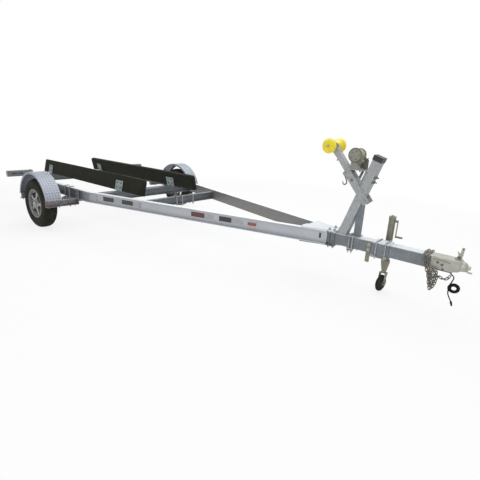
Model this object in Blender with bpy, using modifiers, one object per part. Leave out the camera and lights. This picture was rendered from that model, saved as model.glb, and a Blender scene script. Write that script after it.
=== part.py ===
"""Single-axle boat trailer with two carpeted bunks, a leaning winch stand and a swing-up jack.

Metres, +Z up, +X forward to the coupler, +Y to the left. Inside this file X is counted from the
axle line and Z from the ground, and one empty carries every piece so that the origin of the whole
trailer lies under the middle of its length.
"""

import math

import bmesh
import bpy
import numpy as np
from mathutils import Matrix, Vector

# Reach of the whole trailer ahead of the axle line and behind it
FRONT_REACH = 4.60
REAR_REACH = 1.40

# Running clearance between touching pieces, and how far a cutter runs past what it cuts
FIT_GAP = 0.0003
OVERRUN = 0.01

# Wheels
TRACK = 2.26
TYRE_RADIUS = 0.305
TYRE_WIDTH = 0.172
TYRE_SHOULDER = 0.040
TYRE_BEAD_INSET = 0.014
RIM_RADIUS = 0.176
RIM_DROP_RADIUS = 0.148
RIM_WALL = 0.005
RIM_LIP = 0.010
RIM_WIDTH = 0.150
WHEEL_DISC_OFFSET = 0.055
WHEEL_DISC_THICKNESS = 0.014
SPOKES = 5
SPOKE_GAP_ROOT = 0.066
SPOKE_GAP_TIP = 0.134
SPOKE_WIDTH_ROOT = 0.036
SPOKE_WIDTH_TIP = 0.050
HUB_RADIUS = 0.038
HUB_FLANGE_RADIUS = 0.068
HUB_FLANGE_THICKNESS = 0.010
HUB_LENGTH = 0.105
HUB_CAP_RADIUS = 0.028
HUB_CAP_LENGTH = 0.030
ROUND_SIDES = 32
SMALL_SIDES = 20

# Axle: a square torsion tube under the rails with a trailing arm and a spindle at each end
AXLE_SIDE = 0.076
AXLE_AHEAD = 0.115
AXLE_INSET = 0.240
ARM_THICKNESS = 0.032
ARM_WIDTH = 0.060
SPINDLE_RADIUS = 0.018

# Side rails: channels that run straight past the wheels, then close in on the tongue
FRAME_MID_HEIGHT = 0.440
RAIL_HEIGHT = 0.127
RAIL_FLANGE = 0.050
RAIL_FLANGE_THICKNESS = 0.007
RAIL_WEB = 0.005
RAIL_BACK_SPREAD = 1.560
RAIL_REAR = -1.240
RAIL_BEND = 0.580
RAIL_FRONT = 3.420

# Tongue: square tube between the rails' front ends
TONGUE_SIDE = 0.1016
TONGUE_WALL = 0.0048
TONGUE_REAR = 3.140
TONGUE_FRONT = 4.475

# Junction of the rails and the tongue
JUNCTION_REAR = 3.200
JUNCTION_FRONT = 3.503
JUNCTION_REAR_HALF_WIDTH = 0.160
JUNCTION_FRONT_HALF_WIDTH = 0.085
JUNCTION_THICKNESS = 0.008
CLAMP_BAR_DIAMETER = 0.012
CLAMP_BAR_LIFT = 0.016

# Cross-members between the rails
MEMBER_HEIGHT = 0.095
MEMBER_DEPTH = 0.050
MEMBER_WALL = 0.005
REAR_MEMBER = -1.170
MIDDLE_MEMBER = 0.690
FRONT_MEMBER = 1.330

# Bunks: boards on edge, with saddles that stand on the cross-members
BUNK_SPREAD = 0.854
BUNK_LEAN = math.radians(13)
BUNK_THICKNESS = 0.050
BUNK_HEIGHT = 0.196
BUNK_FRONT = 1.165
BUNK_RISE = 0.1865
BUNK_CHAMFER = 0.020
SADDLE_WIDTH = 0.070
SADDLE_THICKNESS = 0.006
SADDLE_HEIGHT = 0.110
SADDLE_FOOT = 0.045

# Fenders: tread plate rolled round the wheels, with a stay at each end
FENDER_RADIUS = 0.388
FENDER_WIDTH = 0.186
FENDER_LIP = 0.026
FENDER_THICKNESS = 0.0035
FENDER_START = math.radians(12.5)
FENDER_SWEEP = math.radians(155)
FENDER_STEPS = 20
STAY_THICKNESS = 0.006
STAY_WIDTH = 0.055
STAY_DROP = 0.075

# Light arms at the rear corners
ARM_FRONT = -1.006
ARM_DEPTH = 0.062
ARM_HEIGHT = 0.078
ARM_WALL = 0.004
ARM_TIP = 1.118
ARM_SLOT_LENGTH = 0.070
ARM_SLOT_HEIGHT = 0.018
LAMP_LENGTH = 0.165
LAMP_PROUD = 0.016
LAMP_ROUNDING = 0.008

# Winch stand
POST_SIDE = 0.0762
POST_WALL = 0.004
POST_BASE = 3.550
POST_LENGTH = 0.735
POST_LEAN = math.radians(18.6)
CAP_LENGTH = 0.038
CAP_WALL = 0.004
BRACE_SIDE = 0.050
BRACE_WALL = 0.004
BRACE_PLACE = 3.682

# Bow arm: fork plates astride the post, with a slimmer tube that carries the rollers. Its foot,
# the shelf and the winch are placed from the middle of the post's top end
ARM_FOOT_BEHIND_HEAD = 0.069
ARM_FOOT_BELOW_HEAD = 0.367
ARM_LEAN = math.radians(-39.9)
FORK_WIDTH = 0.064
FORK_PLATE = 0.005
FORK_BELOW = 0.032
FORK_LENGTH = 0.280
FORK_WEB_START = 0.140
TUBE_SIDE = 0.050
TUBE_WALL = 0.004
TUBE_START = 0.160
TUBE_END = 0.520
FORK_BOLT_RADIUS = 0.008
FORK_BOLT_HEAD = 0.013
FORK_BOLT_HEAD_LENGTH = 0.009
ROLLER_ALONG = 0.552
ROLLER_RADIUS = 0.064
ROLLER_NECK = 0.030
ROLLER_INNER = 0.032
ROLLER_OUTER = 0.112
ROLLER_RIM = 0.012
ROLLER_BORE = 0.0095
ROLLER_AXLE_RADIUS = 0.009
ROLLER_CHEEK = 0.028
ROLLER_CHEEK_THICKNESS = 0.006

# Winch on its shelf
SHELF_BELOW_HEAD = 0.117
SHELF_REAR_BEHIND_HEAD = 0.231
SHELF_WIDTH = 0.110
SHELF_THICKNESS = 0.006
SHELF_LEG = 0.120
DRUM_BEHIND_HEAD = 0.194
DRUM_OVER_SHELF = 0.116
WINCH_HALF_WIDTH = 0.050
WINCH_SIDE_THICKNESS = 0.003
WINCH_REAR_BEHIND_HEAD = 0.228
WINCH_LENGTH = 0.116
WINCH_SIDE_CROWN = 0.026
WINCH_BASE_THICKNESS = 0.003
DRUM_RADIUS = 0.056
DRUM_FLANGE = 0.003
DRUM_CORE = 0.017
DRUM_SIDE_GAP = 0.002
STRAP_RADIUS = 0.047
GEAR_RADIUS = 0.060
GEAR_THICKNESS = 0.008
GEAR_BACKLASH = 0.0006
SHAFT_RADIUS = 0.0075
PINION_BEHIND_HEAD = 0.144
PINION_OVER_SHELF = 0.052
CRANK_REACH = 0.045
CRANK_LENGTH = 0.190
CRANK_WIDTH = 0.022
CRANK_THICKNESS = 0.005
GRIP_RADIUS = 0.014
GRIP_LENGTH = 0.095
CRANK_ANGLE = math.radians(200)

# Jack on the left of the tongue
JACK_X = 3.905
JACK_Y = 0.172
JACK_TUBE_RADIUS = 0.0286
JACK_TUBE_WALL = 0.0035
JACK_TUBE_BOTTOM = 0.300
JACK_TUBE_TOP = 0.680
JACK_CAP = 0.010
JACK_CAP_LIP = 0.002
RAM_TOP = 0.580
FOOT_TOP_RADIUS = 0.038
FOOT_BOTTOM_RADIUS = 0.021
FOOT_TOP = 0.292
FOOT_BOTTOM = 0.186
CASTER_RADIUS = 0.075
CASTER_WIDTH = 0.040
CASTER_TRAIL = 0.022
CASTER_TURN = math.radians(80)
CASTER_EDGE = 0.012
CASTER_BORE = 0.0085
YOKE_THICKNESS = 0.005
YOKE_TOP = 0.170
YOKE_WIDTH = 0.044
YOKE_SIDE_GAP = 0.005
SWIVEL_RADIUS = 0.040
SWIVEL_THICKNESS = 0.016
MOUNT_PLATE = 0.008
MOUNT_LENGTH = 0.150
MOUNT_AHEAD = 0.010
MOUNT_DROP = 0.026
MOUNT_RING_THICKNESS = 0.018
BOLT_OFFSET = 0.055
BOLT_RADIUS = 0.006
JACK_CRANK_Z = 0.652
JACK_CRANK_HUB = 0.011
JACK_CRANK_HUB_LENGTH = 0.024
JACK_CRANK_DROP = 0.135
JACK_CRANK_THICKNESS = 0.006
JACK_GRIP_LENGTH = 0.055
JACK_GRIP_RADIUS = 0.009
HANGER_X = 3.820
HANGER_WIDTH = 0.036
HANGER_THICKNESS = 0.008
HANGER_LENGTH = 0.185

# Coupler over the tongue's front end
COUPLER_REAR = 4.318
COUPLER_WALL = 0.004
COUPLER_TOP_GAP = 0.0005
COUPLER_NOSE = 4.585
COUPLER_BALL_X = 4.530
SKIRT_DROP = 0.093
SOCKET_RADIUS = 0.0262
SOCKET_DROP = 0.044
SHELL_RADIUS = 0.041
LATCH_X = 4.497
LATCH_RISE = 0.094
LATCH_THICKNESS = 0.012
LATCH_SPUR = 0.030
LIP_RADIUS = 0.007

# Safety chains
CHAIN_WIRE = 0.0065
CHAIN_PITCH = 0.027
CHAIN_WIDTH = 0.024
CHAIN_BITE = 0.0026
CHAIN_BACK_X = 4.262
CHAIN_BACK_RUN = 0.090
CHAIN_FRONT_X = 4.294
CHAIN_FRONT_RUN = 0.184
CHAIN_START_DROP = 0.030
CHAIN_CORNER_LIFT = 0.013
CHAIN_CREST_LIFT = -0.0011
CHAIN_BACK_DROP = 0.270
CHAIN_FRONT_DROP = 0.165
CHAIN_END_DROP = 0.080
CHAIN_STAND_OFF = 0.003

# Wiring lead under the coupler
LEAD_DIAMETER = 0.007
GROMMET_X = 4.458
GROMMET_RADIUS = 0.010
GROMMET_LENGTH = 0.014
COIL_RADIUS = 0.043
COIL_TUBE = 0.011
COIL_X = 4.505
COIL_Y = -0.004
COIL_DROP = 0.127
PLUG_RADIUS = 0.009
PLUG_LENGTH = 0.034

MIDDLE = (FRONT_REACH - REAR_REACH) / 2
RAIL_TOP = FRAME_MID_HEIGHT + RAIL_HEIGHT / 2
RAIL_BOTTOM = FRAME_MID_HEIGHT - RAIL_HEIGHT / 2
TONGUE_TOP = FRAME_MID_HEIGHT + TONGUE_SIDE / 2
TONGUE_BOTTOM = FRAME_MID_HEIGHT - TONGUE_SIDE / 2
AXLE_LENGTH = TRACK - 2 * AXLE_INSET
HEAD_X = POST_BASE + POST_LENGTH * math.sin(POST_LEAN)
HEAD_Z = TONGUE_TOP + POST_LENGTH * math.cos(POST_LEAN)
ARM_FOOT_X = HEAD_X - ARM_FOOT_BEHIND_HEAD
ARM_FOOT_Z = HEAD_Z - ARM_FOOT_BELOW_HEAD
SHELF_TOP = HEAD_Z - SHELF_BELOW_HEAD
SHELF_REAR = HEAD_X - SHELF_REAR_BEHIND_HEAD
WINCH_DRUM_X = HEAD_X - DRUM_BEHIND_HEAD
WINCH_DRUM_Z = SHELF_TOP + DRUM_OVER_SHELF
WINCH_SIDE_REAR = HEAD_X - WINCH_REAR_BEHIND_HEAD
WINCH_SIDE_FRONT = WINCH_SIDE_REAR + WINCH_LENGTH
PINION_X = HEAD_X - PINION_BEHIND_HEAD
PINION_Z = SHELF_TOP + PINION_OVER_SHELF
COUPLER_SKIRT = TONGUE_TOP - SKIRT_DROP
SOCKET_CENTRE_Z = TONGUE_TOP - SOCKET_DROP
COIL_Z = TONGUE_BOTTOM - COIL_DROP
JACK_PIVOT = FRAME_MID_HEIGHT
BUNK_TOP = RAIL_TOP + BUNK_RISE
RAM_RADIUS = JACK_TUBE_RADIUS - JACK_TUBE_WALL - FIT_GAP
CHAIN_ROLL = math.pi / 4
CHAIN_SEAT = CHAIN_WIRE / 2 + (CHAIN_WIDTH - CHAIN_WIRE) / 2 * math.cos(CHAIN_ROLL)
SADDLE_POCKET = BUNK_THICKNESS / 2 + FIT_GAP
SADDLE_LIFT = SADDLE_THICKNESS + SADDLE_POCKET * math.sin(BUNK_LEAN)
BUNK_SPAN = (FIT_GAP + BUNK_HEIGHT) * math.cos(BUNK_LEAN) + BUNK_THICKNESS / 2 * math.sin(BUNK_LEAN)
MEMBER_TOP = BUNK_TOP - SADDLE_LIFT - BUNK_SPAN
MEMBER_MID_HEIGHT = MEMBER_TOP - MEMBER_HEIGHT / 2
SIDES = {"right": -1, "left": 1}
SHARP_ANGLE = math.radians(35)

for leftover in list(bpy.data.objects):
    bpy.data.objects.remove(leftover, do_unlink=True)


def new_collection(name):
    """A collection linked to the scene."""
    made = bpy.data.collections.new(name)
    bpy.context.scene.collection.children.link(made)
    return made


PARTS = new_collection("boat_trailer")
CUTTERS = new_collection("cutters")
CHASSIS = bpy.data.objects.new("chassis_origin", None)
CHASSIS.location = (-MIDDLE, 0, 0)
PARTS.objects.link(CHASSIS)

# Finishes as colour, roughness and metallic share
FINISHES = {
    "galvanized": ((0.62, 0.65, 0.68), 0.42, 0.85),
    "aluminium": ((0.78, 0.80, 0.83), 0.34, 0.90),
    "zinc": ((0.70, 0.68, 0.58), 0.38, 0.85),
    "alloy": ((0.66, 0.68, 0.70), 0.30, 0.90),
    "tyre": ((0.025, 0.025, 0.027), 0.85, 0.0),
    "carpet": ((0.035, 0.036, 0.030), 0.95, 0.0),
    "yellow": ((0.95, 0.80, 0.03), 0.35, 0.0),
    "plastic": ((0.03, 0.03, 0.035), 0.50, 0.0),
    "rubber": ((0.03, 0.03, 0.03), 0.70, 0.0),
    "strap": ((0.62, 0.60, 0.42), 0.80, 0.0),
    "lens": ((0.35, 0.02, 0.03), 0.25, 0.0),
}


def finish(key):
    """The Principled material of one finish, made once."""
    found = bpy.data.materials.get(key)
    if found:
        return found
    colour, roughness, metallic = FINISHES[key]
    made = bpy.data.materials.new(key)
    made.use_nodes = True
    shader = made.node_tree.nodes["Principled BSDF"]
    shader.inputs["Base Color"].default_value = (*colour, 1)
    shader.inputs["Roughness"].default_value = roughness
    shader.inputs["Metallic"].default_value = metallic
    return made


def placed(name, data, matrix=None):
    """A working object in the cutters' collection, out of the render until it becomes a part."""
    made = bpy.data.objects.new(name, data)
    CUTTERS.objects.link(made)
    made.matrix_world = matrix or Matrix()
    made.hide_render = True
    made.display_type = "WIRE"
    return made


def mesh_object(name, fill, matrix=None):
    """An object whose mesh is made by fill(bm)."""
    bm = bmesh.new()
    fill(bm)
    mesh = bpy.data.meshes.new(name)
    bm.to_mesh(mesh)
    bm.free()
    return placed(name, mesh, matrix)


def baked(source):
    """The evaluated shape of an object as a plain closed mesh with its place applied."""
    bpy.context.view_layer.update()
    graph = bpy.context.evaluated_depsgraph_get()
    mesh = bpy.data.meshes.new_from_object(source.evaluated_get(graph))
    bm = bmesh.new()
    bm.from_mesh(mesh)
    bmesh.ops.transform(bm, matrix=source.matrix_world, verts=bm.verts)
    bmesh.ops.remove_doubles(bm, verts=bm.verts, dist=FIT_GAP / 200)
    bmesh.ops.recalc_face_normals(bm, faces=bm.faces)
    bm.to_mesh(mesh)
    bm.free()
    made = placed(source.name + ".solid", mesh)
    bpy.data.objects.remove(source, do_unlink=True)
    return made


def bevelled(source, width, segments=1):
    """The same object with its sharp edges rounded."""
    rounding = source.modifiers.new("rounding", "BEVEL")
    rounding.width = width
    rounding.segments = segments
    rounding.limit_method = "ANGLE"
    return baked(source)


def block(low, high):
    """A box between two corners."""
    low, high = Vector(low), Vector(high)
    size = high - low
    matrix = Matrix.Translation((low + high) / 2) @ Matrix.Diagonal((*size, 1))
    return baked(mesh_object("block", lambda bm: bmesh.ops.create_cube(bm, size=1, matrix=matrix)))


def along(start, end):
    """The matrix that puts +Z on the way from start to end, with its origin at start."""
    way = Vector(end) - Vector(start)
    return Matrix.Translation(start) @ way.to_track_quat("Z", "Y").to_matrix().to_4x4()


def rod(start, end, radius, end_radius=None, sides=SMALL_SIDES):
    """A round bar, or a cone, from start to end."""
    length = (Vector(end) - Vector(start)).length
    matrix = along(start, end) @ Matrix.Translation((0, 0, length / 2))

    def fill(bm):
        bmesh.ops.create_cone(
            bm,
            cap_ends=True,
            segments=sides,
            radius1=radius,
            radius2=radius if end_radius is None else end_radius,
            depth=length,
            matrix=matrix,
        )

    return baked(mesh_object("rod", fill))


def turned(profile, origin, way, steps=ROUND_SIDES, sweep=2 * math.pi):
    """A profile of (radius, height) pairs turned about the axis that leaves origin along way."""
    mesh = bpy.data.meshes.new("profile")
    points = [(radius, 0, height) for radius, height in profile]
    mesh.from_pydata(points, [(i, i + 1) for i in range(len(points) - 1)], [])
    turning = placed("turned", mesh, along(origin, Vector(origin) + Vector(way)))
    screw = turning.modifiers.new("turn", "SCREW")
    screw.steps = screw.render_steps = steps
    screw.angle = sweep
    screw.use_merge_vertices = True
    screw.merge_threshold = FIT_GAP / 10
    return baked(turning)


def ring_profile(inner, outer, low, high):
    """The closed profile of a plain ring."""
    return [(outer, high), (outer, low), (inner, low), (inner, high), (outer, high)]


def plate(outline, thickness, matrix, holes=()):
    """A flat outline, with any holes, filled and given a thickness centred on its plane."""
    curve = bpy.data.curves.new("outline", "CURVE")
    curve.dimensions = "2D"
    curve.fill_mode = "BOTH"
    curve.extrude = thickness / 2
    for loop in (outline, *holes):
        spline = curve.splines.new("POLY")
        spline.points.add(len(loop) - 1)
        for point, (x, y) in zip(spline.points, loop):
            point.co = (x, y, 0, 1)
        spline.use_cyclic_u = True
    return baked(placed("plate", curve, matrix))


def upright(x, y, z):
    """Stands a flat outline up along X and Z, its plane at y."""
    return Matrix.Translation((x, y, z)) @ Matrix.Rotation(math.pi / 2, 4, "X")


def crosswise(x, y, z):
    """Stands a flat outline up along Y and Z, its plane at x."""
    return Matrix.Translation((x, y, z)) @ Matrix(
        ((0, 0, 1, 0), (1, 0, 0, 0), (0, 1, 0, 0), (0, 0, 0, 1))
    )


def bent_bar(route, profile):
    """A section carried along a route, its first axis to the right of the way and its second up."""
    section = bpy.data.curves.new("section", "CURVE")
    section.dimensions = "2D"
    outline = section.splines.new("POLY")
    outline.points.add(len(profile) - 1)
    for point, (across, up) in zip(outline.points, profile):
        point.co = (across, up, 0, 1)
    outline.use_cyclic_u = True
    guide = placed("section", section)
    curve = bpy.data.curves.new("route", "CURVE")
    curve.dimensions = "3D"
    curve.twist_mode = "Z_UP"
    curve.bevel_mode = "OBJECT"
    curve.bevel_object = guide
    curve.use_fill_caps = True
    spline = curve.splines.new("POLY")
    spline.points.add(len(route) - 1)
    for point, place in zip(spline.points, route):
        point.co = (*place, 1)
    made = baked(placed("bent", curve))
    bpy.data.objects.remove(guide, do_unlink=True)
    return made


def wire(route, radius, resolution=2, closed=False):
    """Round wire along a list of points."""
    curve = bpy.data.curves.new("wire", "CURVE")
    curve.dimensions = "3D"
    curve.bevel_depth = radius
    curve.bevel_resolution = resolution
    curve.use_fill_caps = not closed
    spline = curve.splines.new("POLY")
    spline.points.add(len(route) - 1)
    for point, place in zip(spline.points, route):
        point.co = (*place, 1)
    spline.use_cyclic_u = closed
    return baked(placed("wire", curve))


def joined(first, others, operation="UNION", solver="EXACT"):
    """One solid from a first solid and others, by Boolean operations in turn."""
    for other in others:
        step = first.modifiers.new("joining", "BOOLEAN")
        step.operation = operation
        step.solver = solver
        step.object = other
    made = baked(first)
    for other in others:
        bpy.data.objects.remove(other, do_unlink=True)
    return made


def cut(first, cutters):
    """A solid with the cutters' shapes taken away."""
    return joined(first, cutters, "DIFFERENCE")


def part(name, solid, key, parent=None, pivot=None):
    """Turns a working solid into a named part; pivot is its own origin when it moves."""
    solid.name = name
    solid.data.name = name
    if pivot is not None:
        solid.data.transform(Matrix.Translation(-Vector(pivot)))
    solid.data.materials.clear()
    solid.data.materials.append(finish(key))
    solid.data.shade_smooth()
    solid.data.set_sharp_from_angle(angle=SHARP_ANGLE)
    CUTTERS.objects.unlink(solid)
    PARTS.objects.link(solid)
    solid.hide_render = False
    solid.display_type = "TEXTURED"
    carrier = parent or CHASSIS
    solid.parent = carrier
    inner = carrier.get("place", (0, 0, 0))
    solid.location = Vector(pivot or (0, 0, 0)) - Vector(inner)
    return solid


def pivot_empty(name, place, parent=None):
    """An empty on a joint's axis, for the pieces that turn or slide together."""
    made = bpy.data.objects.new(name, None)
    PARTS.objects.link(made)
    carrier = parent or CHASSIS
    made.parent = carrier
    made.location = Vector(place) - Vector(carrier.get("place", (0, 0, 0)))
    made["place"] = place
    return made


def square_tube(start, end, side, wall):
    """A square tube, open at both ends, its faces turned to X, Y or the lean between them."""
    way = (Vector(end) - Vector(start)).normalized()
    length = (Vector(end) - Vector(start)).length
    across = Vector((0, 1, 0))
    front = across.cross(way)
    turn = Matrix((front, across, way)).transposed().to_4x4()
    matrix = Matrix.Translation(start) @ turn

    def bar(half, low, high):
        size = Matrix.Diagonal((2 * half, 2 * half, high - low, 1))
        place = matrix @ Matrix.Translation((0, 0, (low + high) / 2)) @ size
        return baked(mesh_object("bar", lambda bm: bmesh.ops.create_cube(bm, size=1, matrix=place)))

    return cut(bar(side / 2, 0, length), [bar(side / 2 - wall, -OVERRUN, length + OVERRUN)])


def channel(depth, height, wall):
    """The outline of a channel that opens away from its back, which stands at zero."""
    return [
        (0, height / 2),
        (depth, height / 2),
        (depth, height / 2 - wall),
        (wall, height / 2 - wall),
        (wall, wall - height / 2),
        (depth, wall - height / 2),
        (depth, -height / 2),
        (0, -height / 2),
    ]


def rail_back(x):
    """How far from the centre plane the back of a rail stands at x."""
    spread, close = RAIL_BACK_SPREAD / 2, TONGUE_SIDE / 2 + FIT_GAP
    share = min(max((x - RAIL_BEND) / (RAIL_FRONT - RAIL_BEND), 0), 1)
    return spread + (close - spread) * share


def make_rails():
    """Two channels, open outward, mitred where they turn in."""
    half, lip, web = RAIL_HEIGHT / 2, RAIL_FLANGE_THICKNESS, RAIL_WEB
    for name, side in SIDES.items():
        outline = [
            (0, half),
            (RAIL_FLANGE, half),
            (RAIL_FLANGE, half - lip),
            (web, half - lip),
            (web, lip - half),
            (RAIL_FLANGE, lip - half),
            (RAIL_FLANGE, -half),
            (0, -half),
        ]
        section = [(-side * across, up) for across, up in outline]
        route = [(x, side * rail_back(x), FRAME_MID_HEIGHT) for x in (RAIL_REAR, RAIL_BEND, RAIL_FRONT)]
        part(f"rail_{name}", bent_bar(route, section), "aluminium")


def make_members():
    """Channels across the frame, their ends cut to the rails' backs."""
    for name, x in (("rear", REAR_MEMBER), ("middle", MIDDLE_MEMBER), ("front", FRONT_MEMBER)):
        reach = [(x - MEMBER_DEPTH / 2, 0), (x + MEMBER_DEPTH / 2, 0)]
        outline = channel(MEMBER_DEPTH, MEMBER_HEIGHT, MEMBER_WALL)
        section = [(across - MEMBER_DEPTH / 2, up) for across, up in outline]
        length = RAIL_BACK_SPREAD / 2 + OVERRUN
        route = [(x, -length, MEMBER_MID_HEIGHT), (x, length, MEMBER_MID_HEIGHT)]
        beam = bent_bar(route, section)
        low, high = reach[0][0] - OVERRUN, reach[1][0] + OVERRUN
        shape = [(low, -rail_back(low) + FIT_GAP), (high, -rail_back(high) + FIT_GAP)]
        if low < RAIL_BEND < high:
            shape.insert(1, (RAIL_BEND, -rail_back(RAIL_BEND) + FIT_GAP))
        shape += [(across, -y) for across, y in reversed(shape)]
        room = plate(shape, 2 * RAIL_HEIGHT, Matrix.Translation((0, 0, MEMBER_MID_HEIGHT)))
        beam = joined(beam, [room], "INTERSECT")
        if x != FRONT_MEMBER:
            beam = joined(beam, [bunk_saddle(x, side) for side in SIDES.values()])
        part(f"crossmember_{name}", beam, "galvanized")


def bunk_saddle(x, side):
    """A bracket that stands on a cross-member and holds a leaning bunk from both sides."""
    inner = SADDLE_POCKET
    outer = inner + SADDLE_THICKNESS
    reach = outer + SADDLE_FOOT
    root = -MEMBER_WALL / 2
    sine, cosine = math.sin(BUNK_LEAN), math.cos(BUNK_LEAN)

    def leaned(across, up):
        return (side * (across * cosine - up * sine), across * sine + up * cosine + SADDLE_LIFT)

    def footed(across):
        return leaned(across, (SADDLE_THICKNESS - SADDLE_LIFT - across * sine) / cosine)

    outline = [
        (-side * reach, root),
        (side * reach, root),
        (side * reach, SADDLE_THICKNESS),
        footed(outer),
        leaned(outer, SADDLE_HEIGHT),
        leaned(inner, SADDLE_HEIGHT),
        leaned(inner, 0),
        leaned(-inner, 0),
        leaned(-inner, SADDLE_HEIGHT),
        leaned(-outer, SADDLE_HEIGHT),
        footed(-outer),
        (-side * reach, SADDLE_THICKNESS),
    ]
    return plate(outline, SADDLE_WIDTH, crosswise(x, side * BUNK_SPREAD / 2, MEMBER_TOP))


def make_tongue():
    """The square tube that carries the stand, the jack and the coupler."""
    start, end = (TONGUE_REAR, 0, FRAME_MID_HEIGHT), (TONGUE_FRONT, 0, FRAME_MID_HEIGHT)
    part("tongue", square_tube(start, end, TONGUE_SIDE, TONGUE_WALL), "galvanized")


def make_junction():
    """Gusset plates over and under the place where the rails meet the tongue."""
    rear, front = JUNCTION_REAR_HALF_WIDTH, JUNCTION_FRONT_HALF_WIDTH
    outline = [
        (JUNCTION_REAR, -rear),
        (RAIL_FRONT, -front),
        (JUNCTION_FRONT, -front),
        (JUNCTION_FRONT, front),
        (RAIL_FRONT, front),
        (JUNCTION_REAR, rear),
    ]
    lift = (RAIL_HEIGHT - TONGUE_SIDE) / 2
    plates = []
    for sign in (1, -1):
        face = FRAME_MID_HEIGHT + sign * (RAIL_HEIGHT / 2 + FIT_GAP)
        sheet = plate(outline, JUNCTION_THICKNESS, Matrix.Translation((0, 0, face + sign * JUNCTION_THICKNESS / 2)))
        near, far = FRAME_MID_HEIGHT + sign * (TONGUE_SIDE / 2 + FIT_GAP), face + sign * JUNCTION_THICKNESS / 2
        spacer = block(
            (RAIL_FRONT + lift, -TONGUE_SIDE / 2, min(near, far)),
            (JUNCTION_FRONT, TONGUE_SIDE / 2, max(near, far)),
        )
        plates.append(joined(sheet, [spacer]))
    bolts = []
    reach = RAIL_HEIGHT / 2 + JUNCTION_THICKNESS + CLAMP_BAR_LIFT / 2
    for x in (RAIL_FRONT + lift + CLAMP_BAR_DIAMETER, JUNCTION_FRONT - CLAMP_BAR_DIAMETER):
        for side in SIDES.values():
            y = side * (TONGUE_SIDE / 2 + FIT_GAP + CLAMP_BAR_DIAMETER / 2)
            bolts.append(
                rod(
                    (x, y, FRAME_MID_HEIGHT - reach), (x, y, FRAME_MID_HEIGHT + reach), CLAMP_BAR_DIAMETER / 2, sides=12
                )
            )
    part("junction_clamp", joined(plates[0], [plates[1], *bolts]), "galvanized")


def make_axle():
    """Torsion tube, trailing arms and spindles; the tube lies against the rails' underside."""
    top = RAIL_BOTTOM - FIT_GAP
    mid = top - AXLE_SIDE / 2
    tube = block(
        (AXLE_AHEAD - AXLE_SIDE / 2, -AXLE_LENGTH / 2, top - AXLE_SIDE),
        (AXLE_AHEAD + AXLE_SIDE / 2, AXLE_LENGTH / 2, top),
    )
    tube = bevelled(tube, AXLE_SIDE / 12)
    arms = []
    for side in SIDES.values():
        inner = side * (AXLE_LENGTH / 2 - ARM_THICKNESS / 4)
        outer = inner + side * ARM_THICKNESS
        ends = [(AXLE_AHEAD, mid), (0, TYRE_RADIUS)]
        angles = np.linspace(0, 2 * math.pi, 16, endpoint=False)
        eyes = [
            rod((x, inner, z), (x, outer, z), ARM_WIDTH / 2, sides=len(angles)) for x, z in ends
        ]
        way = Vector((ends[1][0] - ends[0][0], ends[1][1] - ends[0][1])).normalized()
        normal = Vector((-way.y, way.x)) * ARM_WIDTH / 2
        strip = [Vector(ends[0]) + normal, Vector(ends[1]) + normal, Vector(ends[1]) - normal, Vector(ends[0]) - normal]
        bar = plate([tuple(p) for p in strip], ARM_THICKNESS, upright(0, (inner + outer) / 2, 0))
        tip = side * (TRACK / 2 + HUB_LENGTH / 4)
        spindle = rod((0, outer - side * ARM_THICKNESS / 2, TYRE_RADIUS), (0, tip, TYRE_RADIUS), SPINDLE_RADIUS)
        arms.append(joined(bar, [*eyes, spindle]))
    part("axle", joined(tube, arms), "galvanized")


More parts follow.
